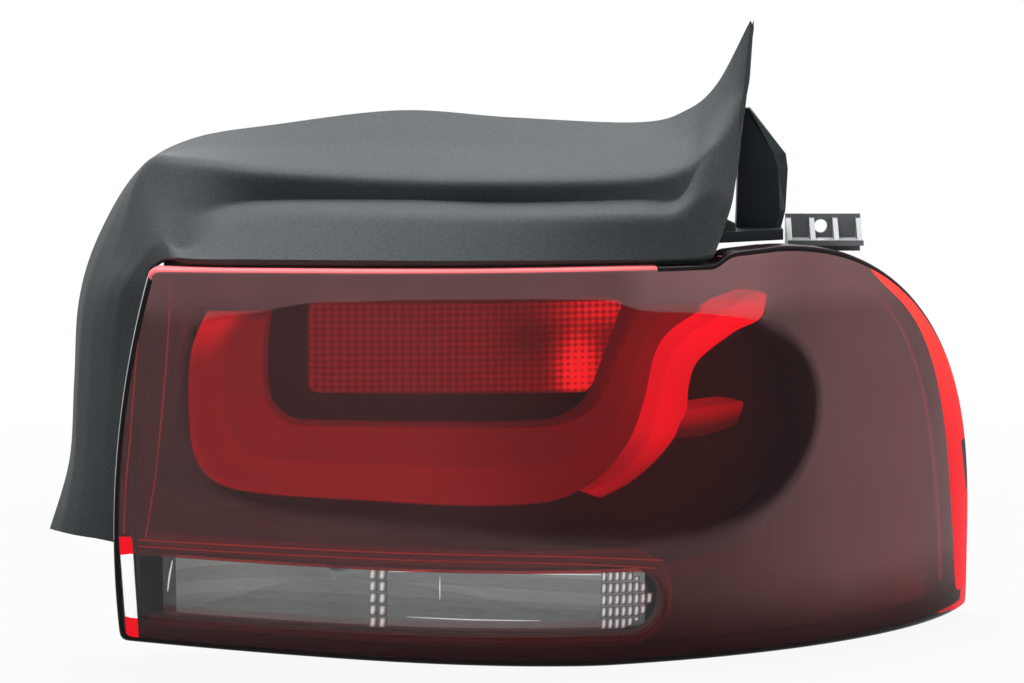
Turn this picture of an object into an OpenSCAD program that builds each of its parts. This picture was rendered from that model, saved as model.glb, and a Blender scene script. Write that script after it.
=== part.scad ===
// Right-hand rear lamp cluster of a car, with the grained trim that is fixed above it.
// X points outboard, Y points forward into the body and Z points up.
// The origin is the seat of the main stud, on the outer face of the housing's back wall.
// The lamp is laid out in lamp space: u runs along the outer lens, z is the height,
// and a depth is measured square to the lens, into the lamp.

/* [Outer lens] */
// X where the flat rear face starts to turn round the corner
turn_x = -88; // [-96:1:-80]
// Reach of the corner's curve along X
wrap_width = 312; // [306:1:318]
// Reach of the corner's curve along Y
wrap_depth = 240; // [232:1:248]
// Angle at which the curve ends, at the forward edge of the lens
wrap_angle = 78; // [76:0.5:80]
// Radius of the slight turn of the rear face towards the middle of the car
rear_radius = 1200; // [1000:50:1600]
// Radius of the upright crown of the lens
crown_radius = 900; // [800:50:1400]
// X of the inboard end at its widest
lens_left = -197; // [-200:1:-194]
// Height of the straight part of the top edge
lens_top = 87; // [84:1:90]
// Height of the hump outboard of the trim
lens_hump = 93; // [91:1:96]
// Height of the lower edge
lens_foot = -100; // [-104:1:-98]
// Wall of the outer lens
lens_wall = 2.8; // [2.2:0.1:3.2]
// Depth of the lens skirt, down to the weld flange
skirt_depth = 12; // [10:0.5:13]

/* [Reversing window] */
// Height of the clear window
window_h = 30; // [26:1:31]
// X of the centre of its rounded outboard end
window_end = 44; // [38:1:50]
// Height of its centre line at the outboard end
window_z = -71; // [-73:1:-70]
// Rise of its centre line towards the inboard end
window_rise = 12; // [8:1:13]

/* [Housing] */
// Distance from the rear face of the lens to the outer face of the back wall
housing_depth = 88; // [86:1:96]
// Depth of the wing at its forward end
wing_depth = 38; // [34:1:42]
// Further depth of the wing where the pocket lies
wing_taper = 18; // [16:1:24]
// Wall of the housing
housing_wall = 2.6; // [2:0.1:3]
// Width of the flange that the lens is welded to
flange_w = 5.6; // [5.4:0.1:6.4]

/* [Bezel and light units] */
// Wall of the bezel
bezel_wall = 2.4; // [1.8:0.1:2.6]
// Depth of the bezel's rim behind the lens
rim_d = 9; // [7:0.5:9.5]
// Depth of the bezel's field
field_d = 15; // [14:0.5:16]
// Depth of the pocket's floor
pocket_d = 46; // [44:0.5:47]
// Depth of the front of the tail band
band_d = 27; // [24:1:32]
// Depth of the front of the hook band
hook_d = 21; // [18:1:24]
// Depth of the front of the indicator lens
indicator_d = 31; // [28:1:36]
// Wall of the inner lenses
inner_wall = 2; // [1.6:0.1:2.4]
// Wall of the light guides
guide_wall = 3; // [2.4:0.1:3.4]
// Wall of the reflectors
mirror_wall = 1.8; // [1.4:0.1:2.2]
// Thickness of the boards that carry the light-emitting diodes
board_t = 1.6; // [1:0.1:2]
// Side of one light-emitting diode
chip_w = 4; // [3:0.5:5]

/* [Bulb carrier] */
// Width of the opening in the back wall
opening_w = 116; // [108:1:118]
// Height of the opening in the back wall
opening_h = 122; // [116:1:124]
// X of the middle of the opening
opening_x = -82; // [-84:1:-78]
// Height of the middle of the opening
opening_z = -4; // [-5:0.5:-3]
// Overlap of the carrier over the edge of the opening
carrier_lap = 6.5; // [6:0.5:7]
// Thickness of the carrier plate
carrier_t = 3; // [2.5:0.1:4]
// Thickness of the squeezed foam gasket
gasket_t = 2; // [1:0.1:3]
// Radius of a bulb's cap
cap_r = 7.5; // [7:0.1:7.8]
// Radius of the indicator bulb's glass
indicator_bulb_r = 11; // [10:0.5:11.5]
// Radius of the reversing bulb's glass
reversing_bulb_r = 8; // [7.5:0.25:8.5]
// Wall of a bulb holder
holder_wall = 2.8; // [2.2:0.1:3.2]
// Width of the connector shell
plug_w = 34; // [32:1:40]
// Height of the connector shell
plug_h = 17; // [15:1:20]
// Depth of the connector shell
plug_d = 18; // [15:1:22]
// Wall of the connector shell
plug_wall = 1.8; // [1.4:0.1:2]
// Number of connector pins
plug_pins = 6; // [4:1:6]

/* [Fixings] */
// Radius of the M6 studs
stud_r = 3; // [2.5:0.5:3]
// Length of a stud outside the back wall
stud_len = 22; // [16:1:30]
// Radius of the locating pins
locator_r = 4; // [3:0.5:4.5]
// Length of a locating pin
locator_len = 16; // [12:1:20]
// Radius of the bore in the fixing lug
lug_bore_r = 3.2; // [2.7:0.1:3.6]
// Radius of the small thread-cutting screws
screw_r = 2; // [1.5:0.1:2.2]
// Running clearance of the round fits
fit = 0.1; // [0.05:0.05:0.2]
// Gap between parts that lie against each other
gap = 0.3; // [0.2:0.05:0.4]

/* [Trim panel] */
// Wall of the grained trim panel
trim_wall = 2.6; // [2:0.1:3]
// Depth of the lip that turns down behind its outer edge
lip = 12; // [8:1:14]
// Shift of the whole horn along X
horn_x = 0; // [-2:1:2]
// Rise of the horn's tip over its drawn height
horn_rise = 0; // [-8:1:8]

/* [Hidden] */
$fn = 48;

// Points of the lens outline: along the foot, up the forward edge, over the top, down the left
foot_n = 22;
fore_n = 5;
crest_n = 12;
top_n = 16;
left_n = 7;
// Lamp space
degree = wrap_width * PI / 180;
lens_end = turn_x + degree * wrap_angle;
mid_u = (lens_left + lens_end) / 2;
mid_z = (lens_hump + lens_foot) / 2 - 1.5;
half_u = (lens_end - lens_left) / 2;
half_z = (lens_hump - lens_foot) / 2;
// Height at which the top edge meets the forward edge, and X where its fall starts
fore_z = -60;
crest_x = 110;
step_x = [80, 90];
crest_power = 2.3;
// Insets of the housing's rings from the lens outline
waist_inset = flange_w + 3.4;
back_inset = 12;
rim_inset = flange_w + 0.4;
field_inset = rim_inset + 2;
// Inset of the pocket's floor from its upper edge
floor_inset = 4;
floor_shares = [0.04, 0.2, 0.36, 0.52, 0.68, 0.84];
// Depth of the guides' backs, clear of the facets of the pocket's floor
band_back = pocket_d - 0.8;
// Depths of the boards and the reflectors, behind the pocket's floor
floor_back = pocket_d + bezel_wall;
board_d = floor_back + 2 * gap;
// Height in Y of the carrier's plate
plate_y = gasket_t;
carrier_back = plate_y + carrier_t;
carrier_w = opening_w + 2 * carrier_lap;
carrier_h = opening_h + 2 * carrier_lap;
// Bulbs: place of each axis as X and height, and where glass and cap meet
indicator_at = [-60, 45];
reversing_at = [-96, -54];
glass_y = -11;
bulb_y = -24;
cap_back = carrier_back + 4;
strip_w = 5;
strip_t = 0.8;
// Places of the studs, the bosses and the carrier's screws
stud_at = [[0, 0], [-163, 22], [20, -60]];
boss_r = 8;
boss_depth = 12;
head_t = 2.5;
// Height of the knurl inside a boss over the stud's radius, and the radius of its head
knurl = 0.5;
stud_head_r = 5.5;
seal_r = 13;
seal_t = 5;
screw_in = 4;
carrier_screw_at = [for (i = [-1, 1], k = [-1, 1])
    [opening_x + i * (carrier_w / 2 - screw_in), opening_z + k * (carrier_h / 2 - screw_in)]];
// Places of the trim frame's feet, as X and Y, and the foot and top of their bosses
foot_at = [[-120, -44], [-30, -44], [51, -37]];
foot_z = 89;
foot_boss = 9;
foot_r = 5.5;
sole_t = 2.5;
arm_z = lens_hump + 1;
arm_h = 5;
web_y = -35;
web_t = 3;
// Vent and wing fixings
vent_at = [24, 34];
wing_pin_at = [186, -78];
wing_pad_r = 6;
wing_pad_y = [97, 113];

// Mean of a list of points
function mean(list) = [for (p = list) 1] * list / len(list);

// Point at the share t of the way along a smooth curve through the points
function along(list, t) =
    let (last = len(list) - 1, k = min(floor(t * last), last - 1), f = t * last - k,
        a = list[max(k - 1, 0)], b = list[k], c = list[k + 1], d = list[min(k + 2, last)])
    0.5 * (2 * b + f * (c - a) + f * f * (2 * a - 5 * b + 4 * c - d) + f * f * f * (3 * b - a - 3 * c + d));

// A number of points along the smooth curve, without its last point
function curve(list, count) = [for (i = [0 : count - 1]) along(list, i / count)];

// Plan of the lens: X and Y at u
function plan(u) = let (a = (u - turn_x) / degree) u < turn_x
    ? [u, pow(turn_x - u, 2) / (2 * rear_radius) - housing_depth]
    : [turn_x + wrap_width * sin(a), wrap_depth * (1 - cos(a)) - housing_depth];

// Direction into the lamp, square to the lens in plan
function inward(u) = let (a = (u - turn_x) / degree,
    n = u < turn_x ? [(turn_x - u) / rear_radius, 1] : [-wrap_depth * sin(a), wrap_width * cos(a)])
    n / norm(n);

// Point of lamp space in the real frame
function lamp(u, z, d) = let (p = plan(u), n = inward(u))
    [p.x + d * n.x, p.y + d * n.y + z * z / (2 * crown_radius), z];

// u of the lens surface at X
function u_at(x) = x < turn_x ? x : turn_x + degree * asin(min(1, (x - turn_x) / wrap_width));

// Inboard end, foot and top of the lens outline
function left_u(z) = lens_left + 18 * pow((z + 40) / 128, 2);
function foot_height(x) = lens_foot - 0.5 + (x < 30 ? 15 * pow((30 - x) / 227, 1.3) : 0);
function step(x) = let (t = min(1, max(0, (x - step_x[0]) / (step_x[1] - step_x[0])))) t * t * (3 - 2 * t);
function top_height(x) = lens_top - 1.2 * (x - lens_left) / 270
    + (lens_hump - lens_top + 1.2) * step(x) * min(1, 0.7 + 0.3 * (x - step_x[0]) / (crest_x - step_x[0]));
function crest(t) = let (x = crest_x + (plan(lens_end).x - crest_x) * pow(cos(t), 2 / crest_power))
    [u_at(x), fore_z + (lens_hump - fore_z) * pow(sin(t), 2 / crest_power)];

// Outline of the outer lens in lamp space, as u and height
function lens_outline() = concat(
    [for (i = [0 : foot_n - 1]) let (u = lens_left + 3 + (lens_end - lens_left - 3) * i / foot_n)
        [u, foot_height(plan(u).x)]],
    [for (i = [0 : fore_n - 1]) [lens_end, lens_foot + (fore_z - lens_foot) * i / fore_n]],
    [for (i = [0 : crest_n - 1]) crest(90 * i / crest_n)],
    [for (i = [0 : top_n - 1]) let (x = crest_x + (left_u(lens_top) - crest_x) * i / top_n)
        [u_at(x), top_height(x)]],
    [for (i = [0 : left_n - 1]) let (z = lens_top + (lens_foot + 14 - lens_top) * i / left_n)
        [left_u(z), z]]);

// The outline drawn in by a margin on all sides
function drawn_in(outline, m) = [for (p = outline)
    [mid_u + (p.x - mid_u) * (1 - m / half_u), mid_z + (p.y - mid_z) * (1 - m / half_z)]];

// The outline shrunk to a share of its size
function shrunk(outline, share) = [for (p = outline) [mid_u, mid_z] + share * (p - [mid_u, mid_z])];

// A ring of points in lamp space
function ring(outline, d) = [for (p = outline) lamp(p.x, p.y, d)];

// The back wall is flat behind the rear face, and follows the lens round the wing
function wall_point(p, y) = let (n = inward(p.x), q = plan(p.x), flat = (y - q.y) / n.y,
    wing = wing_depth + wing_taper * min(1, (lens_end - p.x) / 140) + y, d = max(flat, wing))
    [q.x + d * n.x, flat > wing ? y : q.y + d * n.y, p.y];

// A ring on the way from the weld flange to the back wall
function wall_ring(outline, y, share) = [for (p = outline)
    lamp(p.x, p.y, skirt_depth + 3) * (1 - share) + wall_point(p, y) * share];

// Edge of the carrier's opening as X and height, with its points matched to the lens outline
function opening_edge() = let (w = opening_w / 2, h = opening_h / 2, x = opening_x, z = opening_z,
    side_n = fore_n + crest_n) concat(
    [for (i = [0 : foot_n - 1]) [x - w + 2 * w * i / foot_n, z - h]],
    [for (i = [0 : side_n - 1]) [x + w, z - h + 2 * h * i / side_n]],
    [for (i = [0 : top_n - 1]) [x + w - 2 * w * i / top_n, z + h]],
    [for (i = [0 : left_n - 1]) [x - w, z + h - 2 * h * i / left_n]]);
function opening_ring(y) = [for (p = opening_edge()) [p.x, y, p.y]];

// A ring of the back wall between the carrier's opening and the outline
function wall_between(outline, y, share) = let (edge = opening_edge()) [for (i = [0 : len(edge) - 1])
    wall_point([edge[i].x, edge[i].y] * (1 - share) + outline[i] * share, y)];

// Outline of the dark pocket in the bezel, with as many points on each side as the lens outline
function pocket() = concat(
    curve([[-180, -14], [-159, -22], [-136, -28], [-89, -35], [-39, -43], [39, -53], [80, -55],
        [115, -51], [150, -40]], foot_n),
    curve([[150, -40], [170, -27], [182, -10]], fore_n),
    curve([[182, -10], [187, 12], [182, 34], [168, 54], [152, 69], [132, 76.5]], crest_n),
    curve([[132, 76.5], [20, 75], [-80, 75], [-166, 75]], top_n),
    curve([[-166, 75], [-173, 30], [-180, -14]], left_n));

// The pocket's outline moved in by a margin
function pocket_in(m) = let (mid = [0, 12], half = [184, 62])
    [for (p = pocket()) [mid.x + (p.x - mid.x) * (1 - m / half.x), mid.y + (p.y - mid.y) * (1 - m / half.y)]];

// Edges of the bands, each from its upper end, as u and height
function hook_left() = [[122, 63], [105, 59.5], [83, 51], [74, 41], [68, 21], [60, 3], [46, -13], [29, -22]];
function hook_right() = [[140, 68], [135, 58], [112, 48], [93, 38], [88, 20], [77, 2], [58.5, -11.5], [37, -24]];
function arm_upper() = [[84, 15], [104, 17], [125, 18]];
function arm_lower() = [[75, 2], [98, 2.5], [120, 7]];
function tail_outer() = [[-158, 63], [-165, 44], [-166, 16], [-163, -4], [-152, -16], [-128, -21], [-80, -24],
    [-30, -27], [10, -26.5], [30, -21], [45, -12], [58, 3], [66, 21], [72, 42], [82, 53], [104, 63]];
function tail_inner() = [[-127, 64], [-129, 48], [-129, 33], [-127, 22], [-118, 14], [-106, 12.5], [-80, 12],
    [-40, 11.5], [0, 11], [16, 11.5], [29, 15], [38, 21], [45, 32], [51, 45], [57, 56], [61, 64]];

// Outline of the reversing window as X and height
function window_mid(x) = window_z + window_rise * pow(max(0, (50 - x) / 247), 1.5);
function window_outline(left, margin) = let (half = window_h / 2 - margin, n = 14) concat(
    [for (i = [0 : n]) let (x = left + (window_end - left) * i / n) [x, window_mid(x) - half]],
    [for (a = [-75 : 15 : 75]) [window_end + half * cos(a), window_z + half * sin(a)]],
    [for (i = [n : -1 : 0]) let (x = left + (window_end - left) * i / n) [x, window_mid(x) + half]]);

// Lines of the trim panel, each from the foot of its left leg round to its horn
function horn(p, share) = [p.x + horn_x * share, p.y, p.z + horn_rise * share * share];
function trim_lines() = [
    [[-231, -28, -42], [-224, -19, -10], [-222, -12, 28], [-220, -6, 65], [-211, 0, 95], [-191, 9, 126],
        [-165, 12, 141], [-125, 12, 148], [-67, 12, 155], [-14, 12, 151], [47, 12, 149], [71, 12, 156],
        horn([87, 12, 170], 0.7), horn([102, 10, 198], 1)],
    [[-224, -38, -41], [-218, -33, -9], [-216, -28, 29], [-213, -24, 67], [-204, -20, 93], [-187, -3, 127],
        [-166, -4, 136], [-128, -8, 139], [-66, -12, 140], [-14, -12, 138], [47, -10, 138], [71, -6, 142],
        horn([83, -4, 153], 0.5), horn([99, 0, 168], 0.7)],
    [[-217, -46, -41], [-212, -44, -8], [-209, -42, 30], [-206, -40, 68], [-197, -38, 89], [-184, -16, 127],
        [-166, -28, 132], [-130, -38, 128], [-66, -46, 124], [-14, -46, 123], [46, -38, 124], [67, -31, 129],
        horn([79, -24, 138], 0.4), horn([94, -8, 151], 0.6)],
    [[-211, -52, -41], [-207, -52, -8], [-204, -52, 31], [-200, -52, 70], [-191, -52, 87], [-177, -42, 108],
        [-164, -44, 108], [-130, -40, 113], [-66, -46, 114], [-14, -45, 113], [42, -40, 114], [64, -34, 116],
        [77, -30, 127], horn([92, -18, 133], 0.4)],
    [[-205, -56, -41], [-202, -57, -8], [-199, -58, 31], [-194, -59, 70], [-186, -60, 85], [-173, -58, 96],
        [-163, -60, 96], [-132, -52, 106], [-65, -52, 109], [-14, -51, 108], [39, -45, 109], [63, -39, 110],
        [75, -36, 118], horn([88, -32, 112], 0.2)],
    [[-199, -58, -42], [-197.5, -60, -9], [-193, -62, 31], [-185, -64, 72], [-182, -66, 84.5], [-172, -69, 88.8],
        [-161, -70, 88.5], [-133, -71, 88.5], [-65, -71, 88.5], [-14, -68, 88], [46, -55, 87.5],
        [67, -48, 87.5], [75, -45, 88], [80, -44, 89]]];

// Shares of the way from one trim line to the next: close to each line, so that its fold is rounded
fold_shares = [0, 0.12, 0.5, 0.88];

// One section of the trim panel's face, from its outer edge to the lens
function trim_section(t) = let (line = [for (list = trim_lines()) along(list, t)])
    concat([for (k = [0 : 4], s = fold_shares) let (a = line[k], b = line[k + 1],
            before = line[max(0, k - 1)])
        s == 0 && k > 0 ? 0.88 * a + 0.06 * (before + b) : a + s * (b - a)], [line[5]]);

// Normals of a grid of points, pointing away from its seen side
function grid_normal(grid, i, j) = let (
        a = grid[min(i + 1, len(grid) - 1)][j] - grid[max(i - 1, 0)][j],
        b = grid[i][min(j + 1, len(grid[0]) - 1)] - grid[i][max(j - 1, 0)], n = cross(b, a))
    n / max(norm(n), 0.001);

// A closed solid through rings of points. Its ends are closed by fans, or it closes on itself
module rings(loops, round = false) {
    n = len(loops[0]);
    last = len(loops) - 1;
    points = concat([for (loop = loops) each loop], round ? [] : [mean(loops[0]), mean(loops[last])]);
    middle = n * len(loops);
    sides = [for (k = [0 : round ? last : last - 1], i = [0 : n - 1])
        let (j = (i + 1) % n, a = k * n, b = ((k + 1) % len(loops)) * n)
        each [[a + i, a + j, b + j], [a + i, b + j, b + i]]];
    ends = round ? [] : [for (i = [0 : n - 1]) let (j = (i + 1) % n)
        each [[middle, j, i], [middle + 1, last * n + i, last * n + j]]];
    polyhedron(points, concat(sides, ends), convexity = 12);
}

// A panel of lamp space between four corners, given as u and height, and two depths
module panel(low, high, d, nu = 12, nz = 4) {
    rings([for (i = [0 : nu]) let (p = low[0] + (low[1] - low[0]) * i / nu,
            q = high[0] + (high[1] - high[0]) * i / nu)
        concat([for (k = [0 : nz]) let (r = p + (q - p) * k / nz) lamp(r.x, r.y, d[0])],
            [for (k = [nz : -1 : 0]) let (r = p + (q - p) * k / nz) lamp(r.x, r.y, d[1])])]);
}

// A rounded bar between two edges of lamp space, from its front depth to its back depth,
// drawn in by a wall at its sides and ends
module bar(left, right, front, back, count, wall = 0) {
    section = [[0, 1], [0, 0.16], [0.12, 0.04], [0.36, 0], [0.64, 0], [0.88, 0.04], [1, 0.16], [1, 1]];
    ends = wall * 0.006;
    rings([for (i = [0 : count]) let (t = ends + (1 - 2 * ends) * i / count, a = along(left, t),
            b = along(right, t), in = wall * (b - a) / norm(b - a))
        [for (s = section) let (p = a + in + s.x * (b - a - 2 * in))
            lamp(p.x, p.y, front + s.y * (back - front))]]);
}

// A light guide: a bar hollowed from behind
module guide(left, right, front, count) {
    difference() {
        bar(left, right, front, band_back, count);
        bar(left, right, front + guide_wall, pocket_d + 2, count, guide_wall);
    }
}

// A straight prism along Y over an outline of X and height
module prism(outline, from, to) {
    translate([0, to, 0]) rotate([90, 0, 0]) linear_extrude(to - from) polygon(outline);
}

// A cylinder along Y at a place given as X and height
module rod(at, r, from, to) {
    translate([at.x, from, at.y]) rotate([-90, 0, 0]) cylinder(r = r, h = to - from);
}

// A plate square to Y with round corners, around a middle given as X and height
module plate(at, size, r, from, to) {
    translate([at.x, to, at.y]) rotate([90, 0, 0]) linear_extrude(to - from) union() {
        square([size.x - 2 * r, size.y], center = true);
        square([size.x, size.y - 2 * r], center = true);
        for (i = [-1, 1], k = [-1, 1])
            translate([i * (size.x / 2 - r), k * (size.y / 2 - r)]) circle(r);
    }
}

// The whole outer lens, one wall thick, with its skirt
module lens_shell() {
    o = lens_outline();
    rings(concat(
        [for (s = [0.04, 0.28, 0.5, 0.7, 0.87]) ring(shrunk(o, s), 0)],
        [ring(drawn_in(o, 2.4), 0), ring(drawn_in(o, 0.8), 0.7), ring(o, 2.6), ring(o, skirt_depth)],
        [ring(drawn_in(o, lens_wall), skirt_depth), ring(drawn_in(o, lens_wall), lens_wall + 0.8)],
        [for (s = [0.87, 0.7, 0.5, 0.28, 0.04]) ring(shrunk(o, s), lens_wall)]));
}

// Red part of the outer lens
module lens_red() {
    color([0.75, 0.04, 0.05, 0.55]) difference() {
        lens_shell();
        prism(window_outline(lens_left - 15, 0), -housing_depth - 20, 0);
    }
}

// Clear window of the outer lens, moulded into the red part
module lens_clear() {
    color([0.9, 0.92, 0.93, 0.4]) intersection() {
        lens_shell();
        prism(window_outline(lens_left - 15, fit), -housing_depth - 20, 0);
    }
}

// Rear housing: a deep tub with a weld flange and an opening for the bulb carrier
module housing() {
    o = lens_outline();
    seam = skirt_depth + gap;
    color([0.16, 0.17, 0.18]) difference() {
        union() {
            rings(concat([
                ring(drawn_in(o, 0.2), seam), ring(drawn_in(o, 0.2), seam + 3), ring(drawn_in(o, 3), seam + 3.4),
                wall_ring(drawn_in(o, waist_inset - housing_wall), 0, 0.8), wall_ring(drawn_in(o, back_inset), 0, 0.97),
                wall_ring(drawn_in(o, back_inset + 3), 0, 1)],
                [for (s = [0.75, 0.5, 0.32, 0.16]) wall_between(drawn_in(o, back_inset), 0, s)],
                [opening_ring(0), opening_ring(-housing_wall)],
                [for (s = [0.16, 0.32, 0.5, 0.75]) wall_between(drawn_in(o, back_inset), -housing_wall, s)],
                [wall_ring(drawn_in(o, back_inset + 4), -housing_wall, 1),
                wall_ring(drawn_in(o, waist_inset), -housing_wall, 0.8), ring(drawn_in(o, flange_w), seam + 3.4),
                ring(drawn_in(o, flange_w), seam)]), round = true);
            for (at = stud_at) rod(at, boss_r, -boss_depth, -housing_wall / 2);
            for (at = carrier_screw_at) rod(at, screw_r + 2.5, -boss_depth, -housing_wall / 2);
            for (at = foot_at) translate([at.x, at.y, foot_z - foot_boss]) cylinder(r = foot_r, h = foot_boss);
            rod(wing_pin_at, wing_pad_r, wing_pad_y[0], wing_pad_y[1]);
            rod(vent_at, 6, -6, 7);
        }
        for (at = stud_at) rod(at, stud_r + knurl + fit, -boss_depth - 1, 1);
        for (at = carrier_screw_at) rod(at, screw_r + fit, -boss_depth - 1, 1);
        for (at = foot_at) translate([at.x, at.y, foot_z - foot_boss - 4])
            cylinder(r = screw_r + fit, h = foot_boss + 5);
        rod(wing_pin_at, locator_r / 2 + fit, wing_pad_y[1] - 10, wing_pad_y[1] + 1);
        rod(vent_at, 3.5, -7, 8);
    }
}

// Dark bezel: a rim, a field and the deep pocket that holds the light units
module bezel() {
    o = lens_outline();
    color([0.12, 0.09, 0.1]) difference() {
        rings(concat(
            [for (s = floor_shares) ring(shrunk_pocket(s), pocket_d)],
            [ring(pocket_in(floor_inset), pocket_d), ring(pocket_in(0), field_d + 2)],
            [for (t = [0.3, 0.65]) field_ring(o, 0, t, 0)],
            [ring(drawn_in(o, field_inset), field_d), ring(drawn_in(o, rim_inset), rim_d),
                ring(drawn_in(o, rim_inset), rim_d + bezel_wall),
                ring(drawn_in(o, field_inset), field_d + bezel_wall)],
            [for (t = [0.65, 0.3]) field_ring(o, -bezel_wall, t, bezel_wall)],
            [ring(pocket_in(-bezel_wall), field_d + 2 + bezel_wall),
                ring(pocket_in(floor_inset - bezel_wall), floor_back)],
            [for (i = [len(floor_shares) - 1 : -1 : 0]) ring(shrunk_pocket(floor_shares[i]), floor_back)]));
        prism(window_outline(lens_left + 21, 1.2), -housing_depth - 5, 0);
        aperture([[-98, 32], [34, 30]], [[-98, 68], [48, 66]]);
        aperture([[-140, -17], [18, -19]], [[-140, 4], [18, 4]]);
        aperture([[66, -1], [76, -1]], [[76, 40], [86, 40]]);
    }
}
function shrunk_pocket(share) = [for (p = pocket()) [0, 12] + share * (p - [0, 12])];
function field_ring(o, m, t, depth) = let (a = pocket_in(m), b = drawn_in(o, field_inset))
    [for (i = [0 : len(a) - 1]) let (p = a[i] * (1 - t) + b[i] * t)
        lamp(p.x, p.y, depth + field_d + 2 * (1 - t))];
module aperture(low, high) { panel(low, high, [pocket_d - 3, floor_back + 3], 6, 1); }

// Wide U-shaped light guide of the tail light
module tail_band() {
    color([0.72, 0.04, 0.05]) guide(tail_outer(), tail_inner(), band_d, 44);
}

// Hook-shaped light guide of the brake light, with its short arm
module hook_band() {
    color([0.95, 0.05, 0.06]) union() {
        guide(hook_left(), hook_right(), hook_d, 28);
        bar(arm_lower(), arm_upper(), hook_d + 3, band_back, 8);
    }
}

// Patterned inner lens of the direction indicator, on a skirt
module indicator_lens() {
    color([0.65, 0.1, 0.09]) difference() {
        panel([[-109, 26.5], [36, 25]], [[-109, 70], [56, 68.5]], [indicator_d, pocket_d - gap], 14, 5);
        panel([[-109 + inner_wall, 26.5 + inner_wall], [35 - inner_wall, 25 + inner_wall]],
            [[-109 + inner_wall, 70 - inner_wall], [54 - inner_wall, 68.5 - inner_wall]],
            [indicator_d + inner_wall, pocket_d + 2], 14, 5);
    }
}

// A bowl from an edge at a depth of lamp space to a round hole about a bulb
module bowl(low, high, d, at, hole_r, back_y) {
    n = 10;
    function edge(m) = concat(
        [for (i = [0 : n - 1]) let (p = low[0] + (low[1] - low[0]) * i / n) [p.x, p.y + m]],
        [for (i = [0 : n - 1]) let (p = low[1] + (high[1] - low[1]) * i / n) [p.x - m, p.y]],
        [for (i = [0 : n - 1]) let (p = high[1] + (high[0] - high[1]) * i / n) [p.x, p.y - m]],
        [for (i = [0 : n - 1]) let (p = high[0] + (low[0] - high[0]) * i / n) [p.x + m, p.y]]);
    function hole(r, y) = [for (i = [0 : 4 * n - 1]) let (a = 225 + 90 * i / n)
        [at.x + r * cos(a), y, at.y + r * sin(a)]];
    function middle(t, m, r, y) = let (a = ring(edge(m), d), b = hole(r, y))
        [for (i = [0 : len(a) - 1]) let (p = a[i] * (1 - t) + b[i] * t)
            [p.x, a[i].y + (y - a[i].y) * pow(t, 0.6), p.z]];
    seat_r = hole_r + 6;
    rings([ring(edge(0), d), middle(0.3, 0, seat_r, back_y), middle(0.6, 0, seat_r, back_y),
        hole(seat_r, back_y), hole(hole_r, back_y), hole(hole_r, back_y - mirror_wall),
        hole(seat_r - mirror_wall, back_y - mirror_wall),
        middle(0.6, mirror_wall, seat_r - mirror_wall, back_y - mirror_wall),
        middle(0.3, mirror_wall, seat_r - mirror_wall, back_y - mirror_wall), ring(edge(mirror_wall), d)],
        round = true);
}

// Bright bowl behind the indicator lens
module indicator_reflector() {
    color([0.8, 0.81, 0.83]) bowl([[-102, 28], [36, 26]], [[-102, 70], [52, 68]], board_d, indicator_at,
        cap_r + 2, -15);
}

// Bright trough behind the reversing window
module reversing_reflector() {
    color([0.8, 0.81, 0.83]) bowl([[-178, -76], [62, -88]], [[-178, -48], [62, -58]],
        field_d + bezel_wall + 2 + 2 * gap, reversing_at, cap_r + 2, -15);
}

// Glass of a bulb
module glass(at, r) {
    color([0.95, 0.95, 0.9, 0.5]) union() {
        translate([at.x, bulb_y, at.y]) sphere(r);
        rod(at, cap_r - 0.6, bulb_y, glass_y);
    }
}

// Metal cap of a bulb, with its two bayonet pins
module cap(at) {
    color([0.78, 0.7, 0.45]) union() {
        rod(at, cap_r, glass_y, cap_back);
        for (s = [-1, 1]) translate([at.x, 0, at.y]) rotate([0, s * 90, 0]) cylinder(r = 1, h = cap_r + 1.4);
    }
}
module indicator_bulb() { glass(indicator_at, indicator_bulb_r); }
module indicator_cap() { cap(indicator_at); }
module reversing_bulb() { glass(reversing_at, reversing_bulb_r); }
module reversing_cap() { cap(reversing_at); }

// Clear inner lens behind the reversing window, thicker along its two prism fields
module reversing_prisms() {
    stops = [[-174, 0], [-140, 0], [-110, 0], [-80, 0], [-79.5, 1], [-70, 1], [-69.5, 0], [-40, 0], [-10, 0], [20, 0],
        [35, 0], [35.5, 1], [44, 1], [53, 0.9], [62, 0.6]];
    color([0.85, 0.87, 0.88, 0.5]) rings([for (s = stops)
        let (x = plan(s[0]).x, half = window_h / 2 - 0.2 - (s[0] > window_end ? pow((s[0] - window_end) / 5, 2) : 0),
            mid = window_mid(x), back = field_d - gap, front = back - inner_wall - 1.6 * s[1])
        [lamp(s[0], mid - half, front), lamp(s[0], mid, front), lamp(s[0], mid + half, front),
            lamp(s[0], mid + half, back), lamp(s[0], mid - half, back)]]);
}

// Board behind the tail band
module tail_board() {
    color([0.1, 0.35, 0.18])
        panel([[-146, -21], [24, -23]], [[-146, 8], [24, 8]], [board_d, board_d + board_t], 12, 1);
}

// Board behind the hook band
module brake_board() {
    color([0.1, 0.35, 0.18])
        panel([[62, -4], [80, -4]], [[72, 44], [90, 44]], [board_d, board_d + board_t], 2, 4);
}

// Light-emitting diodes on the boards
module led_chips() {
    d = [board_d - 1.6, board_d - 0.05];
    color([0.9, 0.85, 0.5]) {
        for (i = [0 : 7]) let (u = -136 + 21 * i)
            panel([[u, -8], [u + chip_w, -8]], [[u, -8 + chip_w], [u + chip_w, -8 + chip_w]], d, 1, 1);
        for (i = [0 : 2]) let (u = 71 + 2.6 * i, z = 4 + 12 * i)
            panel([[u, z], [u + chip_w, z]], [[u, z + chip_w], [u + chip_w, z + chip_w]], d, 1, 1);
    }
}

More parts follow.
